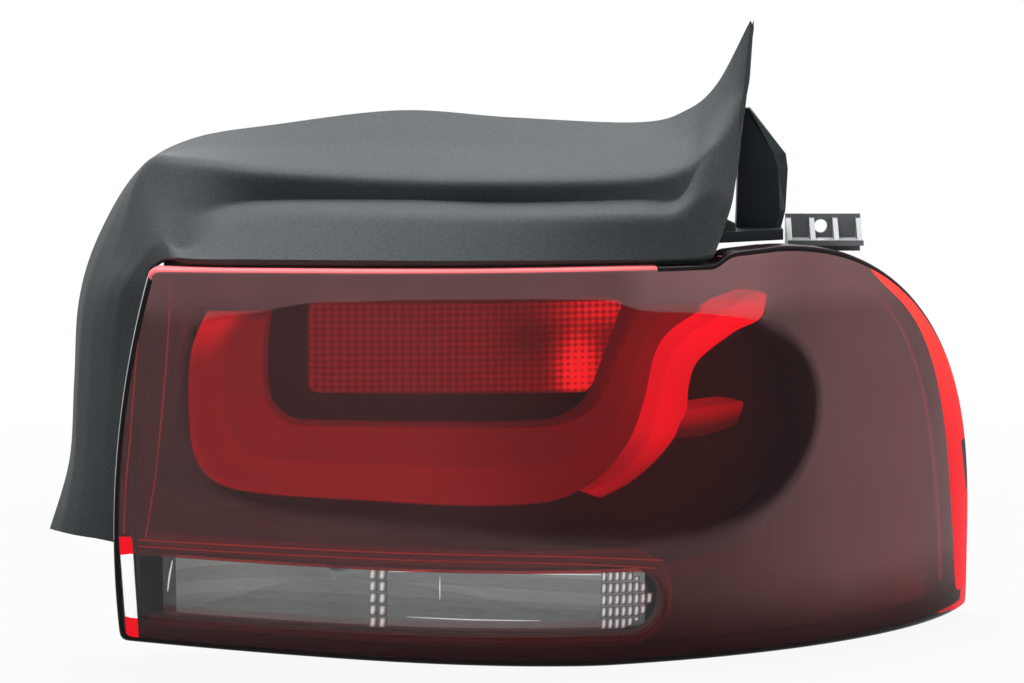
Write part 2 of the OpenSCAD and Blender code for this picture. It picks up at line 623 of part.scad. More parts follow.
// Carrier plate with its bulb holders
module bulb_carrier() {
    at = [opening_x, opening_z];
    color([0.85, 0.84, 0.8]) difference() {
        union() {
            plate(at, [carrier_w, carrier_h], 8, plate_y, carrier_back);
            difference() {
                plate(at, [opening_w - 2, opening_h - 2], 5, -4, carrier_back);
                plate(at, [opening_w - 7, opening_h - 7], 4, -5, plate_y);
            }
            for (b = [indicator_at, reversing_at]) rod(b, cap_r + fit + holder_wall, -8, cap_back + 3);
            for (k = [-1, 1]) translate([at.x - opening_w / 2 + 12, carrier_back, at.y + 20 * k])
                cube([opening_w - 24, 3, 2]);
            for (k = [-1, 1]) translate([at.x + k * 30 - 1, carrier_back, at.y - 42]) cube([2, 3, 84]);
        }
        for (b = [indicator_at, reversing_at]) {
            rod(b, cap_r + fit, -9, cap_back + fit);
            translate([b.x - cap_r - 2, -9, b.y - 1.2]) cube([2 * cap_r + 4, 11, 2.4]);
        }
        for (p = carrier_screw_at) rod(p, screw_r + fit, plate_y - 1, carrier_back + 1);
        translate([at.x - plug_w / 2 - fit, carrier_back - fit, at.y - plug_h / 2 - fit])
            cube([plug_w + 2 * fit, 5, plug_h + 2 * fit]);
        for (i = [0 : plug_pins - 1]) rod(pin_at(i), 1, plate_y - 1, carrier_back + 1);
    }
}

// Foam gasket between the carrier and the back wall
module carrier_gasket() {
    at = [opening_x, opening_z];
    color([0.2, 0.2, 0.2]) difference() {
        plate(at, [carrier_w - 2, carrier_h - 2], 7, 0, gasket_t);
        plate(at, [opening_w + 1, opening_h + 1], 3, -1, gasket_t + 1);
        for (p = carrier_screw_at) rod(p, screw_r + 0.5, -1, gasket_t + 1);
    }
}

// Screw with a pan head, driven along -Y, at X and height
module screw(at, head_y, length) {
    rod(at, screw_r, head_y - length, head_y);
    difference() {
        rod(at, screw_r + 1.8, head_y, head_y + 2);
        for (a = [0, 90]) translate([at.x, head_y + 1.6, at.y]) rotate([0, a, 0])
            cube([4, 1.6, 0.8], center = true);
    }
}

// Four screws that hold the carrier
module carrier_screws() {
    color([0.7, 0.71, 0.72]) for (p = carrier_screw_at) screw(p, carrier_back, carrier_back + boss_depth - 2);
}

// One sheet-metal conductor on the inner face of the carrier, placed by its lower inboard corner
module strip(x, z, size) {
    color([0.75, 0.65, 0.35]) translate([opening_x + x, plate_y - strip_t, opening_z + z])
        cube([size.x, strip_t, size.y]);
}

// Upright conductors from the plug to the indicator's holder
module feed_strips() {
    for (x = [37, 45]) strip(x, -44, [strip_w, 84]);
}

// Cross conductors to the holders
module bulb_strips() {
    for (z = [14, -24]) strip(-40, z, [46, strip_w]);
}

// Place of a connector pin
function pin_at(i) = [opening_x + (i - (plug_pins - 1) / 2) * 4.6, opening_z];

// Connector shell on the back of the carrier
module connector_shell() {
    at = [opening_x, opening_z];
    color([0.1, 0.1, 0.11]) difference() {
        union() {
            plate(at, [plug_w, plug_h], 3, carrier_back, carrier_back + plug_d);
            plate(at + [0, plug_h / 2 + 1], [10, 5], 1, carrier_back + plug_d - 8, carrier_back + plug_d - 2);
        }
        plate(at, [plug_w - 2 * plug_wall, plug_h - 2 * plug_wall], 2, carrier_back + 2, carrier_back + plug_d + 1);
        for (i = [0 : plug_pins - 1]) rod(pin_at(i), 0.9, carrier_back - 1, carrier_back + 3);
    }
}

// Blade pins in the connector
module connector_pins() {
    color([0.8, 0.78, 0.7]) for (i = [0 : plug_pins - 1]) rod(pin_at(i), 0.8, plate_y, carrier_back + plug_d - 6);
}

// Breather cap on the housing
module vent_cap() {
    color([0.12, 0.12, 0.13]) difference() {
        union() {
            rod(vent_at, 9, 7 - 5, 11);
            rod(vent_at, 10.5, 2, 4);
        }
        rod(vent_at, 6 + fit, 1, 7);
        for (a = [0 : 45 : 315]) translate([vent_at.x, 9, vent_at.y]) rotate([0, a, 0])
            translate([9, 0, 0]) cube([3, 2, 2.4], center = true);
    }
}

// Foam rings round the studs, against the body
module stud_seals() {
    color([0.13, 0.13, 0.14]) for (at = stud_at) difference() {
        rod(at, seal_r, 0, seal_t);
        rod(at, boss_r, -1, seal_t + 1);
    }
}

// Threaded studs with flat heads inside their bosses
module mounting_studs() {
    color([0.72, 0.72, 0.74]) for (at = stud_at) union() {
        rod(at, stud_r, -1, stud_len);
        rod(at, stud_r + knurl, -boss_depth - 1, 0);
        rod(at, stud_head_r, -boss_depth - head_t, -boss_depth);
    }
}

// Locating pin with a collar on the forward end of the wing
module locating_pins() {
    y = wing_pad_y[1];
    color([0.75, 0.75, 0.72]) union() {
        rod(wing_pin_at, locator_r / 2, y - 9, y + 1);
        rod(wing_pin_at, locator_r + 2.5, y, y + 2);
        rod(wing_pin_at, locator_r, y + 1, y + 2 + locator_len);
    }
}

// Ribbed lug on the upper shoulder, with a bore for the body screw
module fixing_lug() {
    x = 135;
    z = lens_hump + 0.4;
    color([0.55, 0.57, 0.58]) difference() {
        union() {
            translate([x - 17, 22, z - 7]) cube([36, 4, 18]);
            translate([x - 17, 2, z - 3]) cube([36, 22, 2.6]);
            for (i = [0 : 3]) translate([x - 17 + i * 11.2, 4, z - 3])
                rotate([90, 0, 90]) linear_extrude(2.4) polygon([[0, 0], [20, 0], [20, 12], [16, 12]]);
        }
        rod([x, z + 5], lug_bore_r, 20, 28);
    }
}

// Grained trim panel: a lipped shelf, a ledge, a left leg and an upswept horn
module trim_panel() {
    count = 46;
    face = [for (i = [0 : count]) trim_section(i / count)];
    m = len(face[0]) - 1;
    color([0.2, 0.22, 0.23]) rings([for (i = [0 : count]) let (edge = face[i][0], n = grid_normal(face, i, 0))
        concat([edge + [0, 1.5, -lip], edge + [0, 1.5, -1.5]], [for (j = [0 : m]) face[i][j]],
            [for (j = [m : -1 : 1]) face[i][j] + trim_wall * grid_normal(face, i, j)],
            [edge + trim_wall * n + [0, -1, -1], edge + [0, 1.5 - trim_wall, -lip]])]);
}

// Inner frame that carries the trim, with the leg behind the horn
module trim_frame() {
    color([0.11, 0.12, 0.12]) difference() {
        union() {
            prism([[-140, foot_z], [70, foot_z], [70, 112], [44, 118], [-20, 118], [-70, 118], [-128, 116], [-140, 104]],
                web_y, web_y + web_t);
            translate([0, 0, foot_z]) linear_extrude(sole_t) polygon([[-140, -51], [24, -51], [44, -47.5],
                [58, -47], [62, -40], [70, -36], [70, -32], [-140, -32]]);
            translate([0, 0, arm_z]) linear_extrude(arm_h) polygon([[60, web_y], [70, web_y], [115, -7],
                [115, 15], [92, 15], [92, 4], [60, web_y + web_t]]);
            leg();
        }
        for (at = foot_at) translate([at.x, at.y, foot_z - 1]) cylinder(r = screw_r + fit, h = sole_t + 2);
        for (x = [-110 : 34 : 30]) rod([x, 104], 8, web_y - 1, web_y + web_t + 1);
        translate([foot_at[2].x - 5, web_y - 6, foot_z + sole_t]) cube([10, 12, 5]);
    }
}

// Faceted leg that stands behind the horn
module leg() {
    rings([for (p = [[arm_z + 1, 93, 111, 114], [107, 93.5, 114, 117], [127, 94, 113, 118], [134, 94.5, 111, 117],
            [156, 97, 99, 100]])
        [[p[1], 15, p[0]], [p[3], 15, p[0]], [p[3], 8, p[0]], [p[2], 2, p[0]], [p[1], 4, p[0]]]]);
}

// Spring clips that grip the frame's web and press on the trim
module trim_clips() {
    color([0.6, 0.61, 0.63]) for (x = [-100, -45, 20]) difference() {
        translate([x - 6, web_y - 1.2, 106]) cube([12, web_t + 2.4, 15]);
        translate([x - 7, web_y - gap / 2, 105]) cube([14, web_t + gap, 13.2]);
    }
}

// Screws that hold the frame down on the housing's bosses
module frame_screws() {
    length = sole_t + foot_boss - 1;
    color([0.7, 0.71, 0.72]) for (at = foot_at) translate([at.x, at.y, foot_z + sole_t]) union() {
        translate([0, 0, -length]) cylinder(r = screw_r, h = length);
        cylinder(r = screw_r + 2, h = 2);
    }
}

// Foam seal on the frame's arm, in the corner between the horn and the leg
module corner_seal() {
    z = arm_z + arm_h;
    color([0.07, 0.07, 0.08]) rings([for (p = [[78, -23, 3], [83, -20, 5], [88, -17, 5], [92, -14, 3]])
        [[p[0], p[1], z], [p[0], p[1], z + p[2]], [p[0], p[1] + 9, z + p[2]], [p[0], p[1] + 9, z]]]);
}

lens_red();
lens_clear();
housing();
bezel();
tail_band();
hook_band();
indicator_lens();
indicator_reflector();
indicator_bulb();
indicator_cap();
reversing_prisms();
reversing_reflector();
reversing_bulb();
reversing_cap();
tail_board();
brake_board();
led_chips();
bulb_carrier();
carrier_gasket();
carrier_screws();
feed_strips();
bulb_strips();
connector_shell();
connector_pins();
vent_cap();
stud_seals();
mounting_studs();
locating_pins();
fixing_lug();
trim_panel();
trim_frame();
trim_clips();
frame_screws();
corner_seal();
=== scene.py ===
"""Looks of a right-hand rear lamp cluster with its grained trim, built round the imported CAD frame.

Lengths in the classes are millimetres, in the frame of the CAD: X outboard, Y forward, Z up, with the
origin at the seat of the main stud. Meshes are scaled to metres when they are made. The lamp is laid out in
lamp space: u runs along the outer lens, z is the height and a depth is measured square to the lens.
"""
import logging
import math
from dataclasses import dataclass, field
from enum import Enum, IntEnum
from typing import Callable, Optional, Sequence, Union

import bmesh
import bpy
import numpy as np
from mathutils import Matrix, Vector
from mathutils.geometry import delaunay_2d_cdt


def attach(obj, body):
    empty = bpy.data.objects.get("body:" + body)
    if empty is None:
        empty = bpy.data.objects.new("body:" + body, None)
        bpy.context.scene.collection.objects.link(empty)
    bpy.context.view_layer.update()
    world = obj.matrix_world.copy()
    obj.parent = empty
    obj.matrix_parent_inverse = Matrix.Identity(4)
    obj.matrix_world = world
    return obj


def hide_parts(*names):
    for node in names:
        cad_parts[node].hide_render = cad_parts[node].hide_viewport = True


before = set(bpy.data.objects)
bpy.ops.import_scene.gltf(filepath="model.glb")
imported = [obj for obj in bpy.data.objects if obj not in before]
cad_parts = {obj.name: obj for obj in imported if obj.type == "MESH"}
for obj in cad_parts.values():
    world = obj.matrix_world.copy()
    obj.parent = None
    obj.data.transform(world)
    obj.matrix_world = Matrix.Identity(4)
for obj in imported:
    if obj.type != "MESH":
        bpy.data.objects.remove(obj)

Array = np.ndarray
Colour = tuple[float, float, float]
Faces = list[tuple[int, ...]]
Line = Sequence[Sequence[float]]
Points = tuple[tuple[float, float], ...]
Number = Union[int, float]

MM = 0.001
WELD = 2e-7
ROOT = "root"
PRINCIPLED = "ShaderNodeBsdfPrincipled"
LOG = logging.getLogger("lamp")
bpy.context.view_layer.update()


class Value:
    """A socket whose operators add Math nodes."""

    def __init__(self, graph: "Graph", socket: bpy.types.NodeSocket) -> None:
        """Keep the graph and the socket."""
        self.graph = graph
        self.socket = socket

    def math(self, operation: str, *others: Union["Value", Number], first: Optional[Number] = None) -> "Value":
        """Add one Math node.

        Args:
            operation: The Math node's operation.
            others: The other inputs, in order.
            first: A number that goes before this value.

        Returns:
            The node's result.
        """
        inputs = ([first, self] if first is not None else [self]) + list(others)
        return self.graph.add("ShaderNodeMath", {"operation": operation}, dict(enumerate(inputs)))

    def __add__(self, other: Union["Value", Number]) -> "Value":
        """Sum."""
        return self.math("ADD", other)

    __radd__ = __add__

    def __mul__(self, other: Union["Value", Number]) -> "Value":
        """Product."""
        return self.math("MULTIPLY", other)

    __rmul__ = __mul__

    def __sub__(self, other: Union["Value", Number]) -> "Value":
        """Difference."""
        return self.math("SUBTRACT", other)

    def __rsub__(self, other: Number) -> "Value":
        """Difference from a number."""
        return self.math("SUBTRACT", first=other)

    def __truediv__(self, other: Union["Value", Number]) -> "Value":
        """Quotient."""
        return self.math("DIVIDE", other)

    def __rtruediv__(self, other: Number) -> "Value":
        """Quotient of a number and this."""
        return self.math("DIVIDE", first=other)

    def __pow__(self, other: Union["Value", Number]) -> "Value":
        """Power."""
        return self.math("POWER", other)

    def __rpow__(self, other: Number) -> "Value":
        """Power of a number."""
        return self.math("POWER", first=other)

    def ramp(self, low: float, high: float, smooth: bool = True) -> "Value":
        """A rise from 0 to 1.

        Args:
            low: Value below which it is 0.
            high: Value above which it is 1.
            smooth: Whether it eases in and out.

        Returns:
            The rise.
        """
        kind = "SMOOTHSTEP" if smooth else "LINEAR"
        return self.graph.add("ShaderNodeMapRange", {"interpolation_type": kind, "clamp": True},
                              {"Value": self, "From Min": low, "From Max": high})


class Graph:
    """The node tree of one material or of the world."""

    def __init__(self, name: str, world: Optional[bpy.types.World] = None) -> None:
        """Start with an empty tree and its output.

        Args:
            name: Name of the new material.
            world: A world that takes the tree instead of a new material.
        """
        self.owner = world or bpy.data.materials.new(name)
        self.owner.use_nodes = True
        self.tree = self.owner.node_tree
        self.tree.nodes.clear()
        self.output = self.node("ShaderNodeOutputWorld" if world else "ShaderNodeOutputMaterial", {}, {})

    def node(self, kind: str, settings: dict[str, object], inputs: dict[Union[str, int], object]) -> bpy.types.Node:
        """Add any node.

        Args:
            kind: The node's type.
            settings: Its settings, which are set first.
            inputs: Socket name or place to a number, a colour, a socket or a Value.

        Returns:
            The node.
        """
        node = self.tree.nodes.new(kind)
        for key, setting in settings.items():
            setattr(node, key, setting)
        for key, value in inputs.items():
            socket = node.inputs[key]
            value = value.socket if isinstance(value, Value) else value
            if isinstance(value, bpy.types.NodeSocket):
                self.tree.links.new(value, socket)
            else:
                socket.default_value = (*value, 1.0) if socket.type == "RGBA" else value
        return node

    def add(self, kind: str, settings: dict[str, object], inputs: dict[Union[str, int], object],
            out: Union[str, int] = 0) -> Value:
        """Add a node and return one of its outputs as a value."""
        return Value(self, self.node(kind, settings, inputs).outputs[out])

    def place(self) -> Value:
        """Place on the object, in metres of the CAD's frame."""
        return self.add("ShaderNodeTexCoord", {}, {}, "Object")

    def parts(self) -> tuple[Value, Value, Value]:
        """X, Y and Z of the place, in millimetres."""
        split = self.node("ShaderNodeSeparateXYZ", {}, {0: self.place()})
        return tuple(Value(self, split.outputs[i]) / MM for i in range(3))

    def noise(self, scale: float, detail: float = 3.0, stretch: Colour = (1.0, 1.0, 1.0)) -> Value:
        """Noise from 0 to 1.

        Args:
            scale: Waves per metre.
            detail: Octaves.
            stretch: Factor on each axis of the place.

        Returns:
            The noise.
        """
        place = self.add("ShaderNodeVectorMath", {"operation": "MULTIPLY"}, {0: self.place(), 1: stretch})
        return self.add("ShaderNodeTexNoise", {}, {"Vector": place, "Scale": scale, "Detail": detail})

    def attribute(self, name: str) -> Value:
        """A number that the mesh carries at its points."""
        return self.add("ShaderNodeAttribute", {"attribute_name": name}, {}, "Fac")

    def mix(self, factor: Union[Value, float], a: Union[Colour, Value], b: Union[Colour, Value]) -> Value:
        """Mix of two colours."""
        return self.add("ShaderNodeMix", {"data_type": "RGBA"}, {0: factor, 6: a, 7: b}, 2)

    def bump(self, height: Value, strength: float, distance: float) -> Value:
        """Normal from a height.

        Args:
            height: The height, about 0 to 1.
            strength: The node's strength.
            distance: Height of 1, in millimetres.

        Returns:
            The normal.
        """
        return self.add("ShaderNodeBump", {}, {"Height": height, "Strength": strength, "Distance": distance * MM})

    def shader(self, kind: str, **inputs: object) -> bpy.types.NodeSocket:
        """Add a shader node; underscores in the names stand for spaces."""
        return self.node(kind, {}, {k.replace("_", " "): v for k, v in inputs.items()}).outputs[0]

    def blend(self, factor: Union[Value, float], a: bpy.types.NodeSocket,
              b: bpy.types.NodeSocket) -> bpy.types.NodeSocket:
        """Mix of two shaders."""
        return self.node("ShaderNodeMixShader", {}, {0: factor, 1: a, 2: b}).outputs[0]

    def facing(self) -> Value:
        """Schlick's rise of a reflection towards grazing angles, 0 to 1."""
        return self.add("ShaderNodeLayerWeight", {}, {"Blend": 0.5}, "Facing") ** 5

    def finish(self, surface: bpy.types.NodeSocket) -> bpy.types.ID:
        """Join the surface to the output and return the material or world."""
        self.tree.links.new(surface, self.output.inputs["Surface"])
        return self.owner


def shaded(colour: Colour, share: float) -> Colour:
    """A colour times a share, at most 1."""
    return tuple(min(1.0, c * share) for c in colour)


@dataclass(frozen=True)
class Plastic:
    """Moulded plastic with a grain.

    Attributes:
        name: Name of the material.
        colour: Base colour.
        rough: Roughness.
        grain: Waves of the grain per metre.
        relief: Height of the grain in millimetres.
        mottle: Share by which the colour varies.
        coat: Weight of the clear coat.
        glow: Strength of the emission, a painted glow on parts that are no lamp.
        specular: Level of the reflection.
    """

    name: str
    colour: Colour
    rough: float = 0.4
    grain: float = 2500.0
    relief: float = 0.01
    mottle: float = 0.12
    coat: float = 0.0
    glow: float = 0.0
    specular: float = 0.5

    def build(self) -> bpy.types.Material:
        """Make the material.

        Returns:
            The material.
        """
        g = Graph(self.name)
        fine, wide = g.noise(self.grain, 2.0), g.noise(45.0, 3.0)
        colour = self.mottled(g, 0.6 * wide + 0.4 * fine)
        return g.finish(g.shader(
            PRINCIPLED, Base_Color=colour, Coat_Weight=self.coat, Roughness=self.rough + 0.16 * (wide - 0.5),
            Specular_IOR_Level=self.specular, Emission_Color=colour, Emission_Strength=self.glow,
            Normal=g.bump(fine, 0.6, self.relief)))

    def mottled(self, g: Graph, share: Value) -> Value:
        """The colour, from its darker shade at 0 to its lighter one at 1."""
        return g.mix(share, shaded(self.colour, 1 - self.mottle), shaded(self.colour, 1 + self.mottle))


@dataclass(frozen=True)
class Grained(Plastic):
    """Spark-eroded trim grain: cells of two sizes whose raised tops are lighter."""

    def build(self) -> bpy.types.Material:
        """Make the material.

        Returns:
            The material.
        """
        g = Graph(self.name)
        cells = g.add("ShaderNodeTexVoronoi", {"feature": "F1"}, {"Vector": g.place(), "Scale": self.grain})
        fine, wide = g.noise(self.grain * 1.7, 2.0), g.noise(30.0, 4.0)
        height = 0.6 * (1 - cells) + 0.4 * fine
        colour = self.mottled(g, 0.7 * height.ramp(0.35, 0.8) + 0.3 * wide)
        return g.finish(g.shader(
            PRINCIPLED, Base_Color=colour, Roughness=self.rough + 0.12 * (wide - 0.5),
            Specular_IOR_Level=self.specular, Normal=g.bump(height, 0.8, self.relief)))


@dataclass(frozen=True)
class Pillow(Plastic):
    """Patterned optics with painted light: painted highlights on the crowns and painted shade in the seams, scaled by
    the painted light that the mesh's number gives.

    Attributes:
        seam: Brightness of the painted shade in a seam, as a share of a crown's.
    """

    seam: float = 0.25

    def build(self) -> bpy.types.Material:
        """Make the material.

        Returns:
            The material.
        """
        g = Graph(self.name)
        # Painted light: crown highlights, seam shade and the mesh's light number, which also feed the emission.
        level = (self.seam + (1 - self.seam) * g.attribute("crown") ** 1.4) * g.attribute("light")
        colour = g.mix(level.ramp(0, 1, smooth=False), shaded(self.colour, 0.04), self.colour)
        return g.finish(g.shader(
            PRINCIPLED, Base_Color=colour, Roughness=self.rough, Coat_Weight=self.coat,
            Emission_Color=colour, Emission_Strength=self.glow, Normal=g.bump(g.noise(900.0), 0.1, 0.02)))


@dataclass(frozen=True)
class Metal:
    """Bare or plated metal with fine brushing along one axis.

    Attributes:
        name: Name of the material.
        colour: Base colour.
        rough: Roughness.
        brush: Factor on each axis that draws the brushing out.
    """

    name: str
    colour: Colour
    rough: float = 0.3
    brush: Colour = (1.0, 1.0, 12.0)

    def build(self) -> bpy.types.Material:
        """Make the material.

        Returns:
            The material.
        """
        g = Graph(self.name)
        lines, wide = g.noise(900.0, 3.0, self.brush), g.noise(60.0, 3.0)
        return g.finish(g.shader(
            PRINCIPLED, Base_Color=g.mix(wide, shaded(self.colour, 0.82), self.colour), Metallic=1.0,
            Roughness=self.rough + 0.2 * (lines - 0.5), Normal=g.bump(lines, 0.25, 0.01)))


@dataclass(frozen=True)
class Stepped(Metal):
    """Bright trough with painted light and shade in bands over its upright steps, and a painted glow.

    Attributes:
        steps: Heights over the window's centre line in millimetres, each with the painted brightness above it.
    """

    steps: Points = ((-9.5, 0.75), (-6.8, 1.15), (-1.0, 0.8), (5.6, 1.3), (12.0, 1.7))

    def build(self) -> bpy.types.Material:
        """Make the material.

        Returns:
            The material.
        """
        g = Graph(self.name)
        x, _, z = g.parts()
        reach = (WINDOW.bend - x).math("MAXIMUM", 0.0) / WINDOW.run
        height = z - (WINDOW.z + WINDOW.rise * reach ** 1.5)
        level = 0.45 + 0.5 * (g.noise(500.0, 3.0, (0.25, 1.0, 3.0)) - 0.5)
        before, soft = 0.5, 0.4
        # Painted highlights and shade, one band over each step.
        for at, bright in self.steps:
            level = level + (bright - before) * 0.5 * height.ramp(at - soft, at + soft)
            before = bright
        colour = g.mix(level.ramp(0.0, 1.6, smooth=False), shaded(self.colour, 0.12), shaded(self.colour, 2.0))
        return g.finish(g.shader(
            PRINCIPLED, Base_Color=colour, Metallic=0.35, Roughness=self.rough, Emission_Color=colour,
            Emission_Strength=0.25))


@dataclass(frozen=True)
class SeeThrough:
    """Clear moulded plastic or glass: a tint, a gloss and a faint diffuse veil, which on the red lens is a painted
    sheen.

    Attributes:
        name: Name of the material.
        tint: Colour that one face lets through.
        gloss: Reflection straight on.
        veil_share: Share of a diffuse veil.
        veil: Colour of that veil.
        masked: Whether the veil follows the mesh's own number, which on the red lens paints the sheen and lowers it as
            painted shade.
        rim: Colours of the painted bright rim at the foot and at the top, where the mesh's number asks for it; it is
            lighter towards the top.
        rim_glow: Strength of the emission that paints the rim's glow.
        grazing: Reflection at the flattest angle.
    """

    name: str
    tint: Colour
    gloss: float = 0.025
    veil_share: float = 0.0
    veil: Colour = (0.8, 0.8, 0.8)
    masked: bool = False
    rim: Optional[tuple[Colour, Colour]] = None
    rim_glow: float = 0.75
    grazing: float = 0.5

    def build(self) -> bpy.types.Material:
        """Make the material.

        Returns:
            The material.
        """
        g = Graph(self.name)
        surface = g.shader("ShaderNodeBsdfTransparent", Color=self.tint)
        # On the red lens the veil is a painted sheen, a reflection of the room lit by the lamps, in the share that the
        # mesh's number sets.
        if self.veil_share:
            share = self.veil_share * (0.9 + 0.2 * g.noise(24.0, 2.0))
            if self.masked:
                share = share * g.attribute("veil")
            surface = g.blend(share, surface, g.shader(PRINCIPLED, Base_Color=self.veil, Roughness=0.6))
        if self.gloss:
            shine = g.shader("ShaderNodeBsdfAnisotropic", Color=(1.0, 1.0, 1.0), Roughness=0.04)
            surface = g.blend(self.gloss + (self.grazing - self.gloss) * g.facing(), surface, shine)
        # The rim is a painted glow, lighter towards the top.
        if self.rim:
            rim = g.mix(g.parts()[2].ramp(-30, 90), *self.rim)
            edge = g.shader(PRINCIPLED, Base_Color=rim, Roughness=0.5, Specular_IOR_Level=0.05, Emission_Color=rim,
                            Emission_Strength=self.rim_glow)
            # Painted shade: a near-black surface over the notch.
            shade = g.mix(g.noise(60.0), (0.006, 0.002, 0.002), (0.02, 0.004, 0.005))
            dark = g.shader(PRINCIPLED, Base_Color=shade, Roughness=0.4, Specular_IOR_Level=0.05)
            surface = g.blend(g.attribute("rim"), surface, edge)
            surface = g.blend(g.attribute("dark"), surface, dark)
        return g.finish(surface)


@dataclass(frozen=True)
class Glow:
    """Red light guide with painted light: its colour and emission follow the brightness painted along and across it.

    Attributes:
        name: Name of the material.
        deep: Colour at its darkest.
        bright: Colour at its brightest.
        glow: Strength of the emission, a painted glow.
        inner: Brightness of the inner facet, as a share of the outer one's: painted shade on the facet turned from the
            light.
        crease: Share of the width at which the two facets meet.
    """

    name: str
    deep: Colour
    bright: Colour
    glow: float
    inner: float
    crease: float = 0.5

    def build(self) -> bpy.types.Material:
        """Make the material.

        Returns:
            The material.
        """
        g = Graph(self.name)
        # Painted shade on the inner facet and painted light from the mesh's number, also as emission.
        step = g.attribute("across").ramp(self.crease - 0.05, self.crease + 0.05)
        level = (1.0 + (self.inner - 1.0) * step) * g.attribute("light") + 0.03 * (g.noise(60.0) - 0.5)
        colour = g.mix(level.ramp(0.0, 1.1, smooth=False), self.deep, self.bright)
        return g.finish(g.shader(
            PRINCIPLED, Base_Color=colour, Roughness=0.25 + 0.1 * (g.noise(400.0) - 0.5), Coat_Weight=0.3,
            Emission_Color=colour, Emission_Strength=self.glow, Normal=g.bump(g.noise(700.0), 0.15, 0.02)))


class Finishes(Enum):
    """Every finish of the part."""

    # Red lens: its pinkish veil is a painted sheen and its rim colours paint a glow, lighter towards the top.
    LENS_RED = SeeThrough("lens_red_gloss", (0.97, 0.30, 0.30), 0.006, 1.0, (0.90, 0.43, 0.44), True,
                          ((0.75, 0.008, 0.016), (1.0, 0.075, 0.06)), grazing=0.2)
    LENS_RED_INNER = SeeThrough("lens_red_inner", (0.97, 0.30, 0.30), 0.0)
    # Painted highlights on the lens's edge, with a glow: pink along the top, pale grey at the left.
    LENS_EDGE_TOP = Plastic("lens_edge_pink", (0.82, 0.15, 0.16), 0.4, glow=0.25, specular=0.1)
    LENS_EDGE_LEFT = Plastic("lens_edge_pale", (0.42, 0.44, 0.44), 0.25, glow=0.2)
    # Painted shade: near black on the lens's edge bands.
    LENS_EDGE_DARK = Plastic("lens_edge_dark", (0.012, 0.006, 0.007), 0.3, specular=0.08)
    # The clear lens's painted rim glows pale at the left end.
    LENS_CLEAR = SeeThrough("lens_clear_gloss", (0.97, 0.98, 0.98), 0.015, rim=((0.85, 0.83, 0.82), (0.9, 0.9, 0.9)),
                            grazing=0.3)
    # The ribs' faint emission is a painted glow.
    LENS_RIB = Plastic("lens_rib", (0.45, 0.06, 0.06), 0.4, glow=0.15)
    BEZEL = Plastic("bezel_gloss", (0.010, 0.009, 0.009), 0.34, relief=0.001, specular=0.22)
    WINDOW_RIM = Plastic("window_rim_gloss", (0.05, 0.03, 0.03), 0.4)
    # Painted light and glow on the tail and hook bands.
    TAIL = Glow("tail_guide_red", (0.02, 0.0, 0.004), (1.0, 0.03, 0.14), 0.65, 0.8)
    HOOK = Glow("hook_guide_red", (0.01, 0.0, 0.003), (1.0, 0.012, 0.16), 0.8, 0.9)
    HOUSING = Plastic("housing_satin", (0.028, 0.029, 0.031), 0.48, 1800.0, 0.03)
    CARRIER = Plastic("carrier_natural", (0.62, 0.60, 0.54), 0.5, 1500.0, 0.02)
    BRIGHT = Metal("reflector_bright", (0.86, 0.87, 0.88), 0.16, (1.0, 1.0, 1.0))
    # Painted light and shade in bands over the trough's steps, with a painted glow.
    TROUGH = Stepped("trough_bright", (0.30, 0.305, 0.30), 0.35)
    CLEAR_PLATE = SeeThrough("inner_plate_clear", (0.96, 0.97, 0.97), 0.02, 0.03)
    BULB_GLASS = SeeThrough("bulb_glass_clear", (0.96, 0.96, 0.95), 0.05)
    CAP = Metal("bulb_cap_plated", (0.74, 0.68, 0.48), 0.28)
    BRASS = Metal("strip_brass_bright", (0.80, 0.64, 0.30), 0.25, (1.0, 1.0, 8.0))
    TIN = Metal("pin_tin", (0.78, 0.77, 0.72), 0.25)
    ZINC = Metal("zinc_plate", (0.66, 0.67, 0.68), 0.3)
    SPRING = Metal("spring_sheet", (0.50, 0.51, 0.53), 0.35)
    BOARD = Plastic("board_mask", (0.03, 0.20, 0.09), 0.3, 900.0, 0.01, coat=0.4)
    CHIP = Plastic("chip_resin", (0.86, 0.78, 0.35), 0.25, coat=0.5)
    FOAM = Plastic("foam_closed_cell", (0.028, 0.028, 0.03), 0.85, 3200.0, 0.25, 0.35)
    RUBBER = Plastic("vent_rubber_satin", (0.03, 0.03, 0.032), 0.6)
    PLUG = Plastic("plug_satin", (0.022, 0.022, 0.025), 0.42)
    LUG = Plastic("lug_grey", (0.20, 0.21, 0.215), 0.45, 1500.0, 0.02)
    TRIM = Grained("trim_grain", (0.062, 0.069, 0.072), 0.6, 1900.0, 0.10, 0.38, specular=0.1)
    FRAME = Plastic("frame_satin", (0.012, 0.018, 0.021), 0.55, 1800.0, 0.03, specular=0.2)
    # Painted light on the indicator's pillows, with a painted glow.
    PILLOW = Pillow("indicator_pillow_red", (1.0, 0.15, 0.20), 0.3, glow=0.65, seam=0.14)
    # Painted highlights and glow on the prisms and glints.
    PRISM = Pillow("prism_bright", (0.95, 0.93, 0.92), 0.12, coat=0.3, glow=0.5, seam=0.1)

    def material(self) -> bpy.types.Material:
        """The finish's material, made once."""
        return bpy.data.materials.get(self.value.name) or self.value.build()


def along(points: Array, share: Array) -> Array:
    """Points of a smooth curve.

    Args:
        points: Control points, one a row.
        share: Shares of the way, 0 to 1.

    Returns:
        A point a share.
    """
    last = len(points) - 1
    k = np.clip(np.floor(share * last).astype(int), 0, last - 1)
    f = (share * last - k)[:, None]
    a, b = points[np.maximum(k - 1, 0)], points[k]
    c, d = points[k + 1], points[np.minimum(k + 2, last)]
    return 0.5 * (2 * b + f * (c - a) + f**2 * (2 * a - 5 * b + 4 * c - d) + f**3 * (3 * b - a - 3 * c + d))


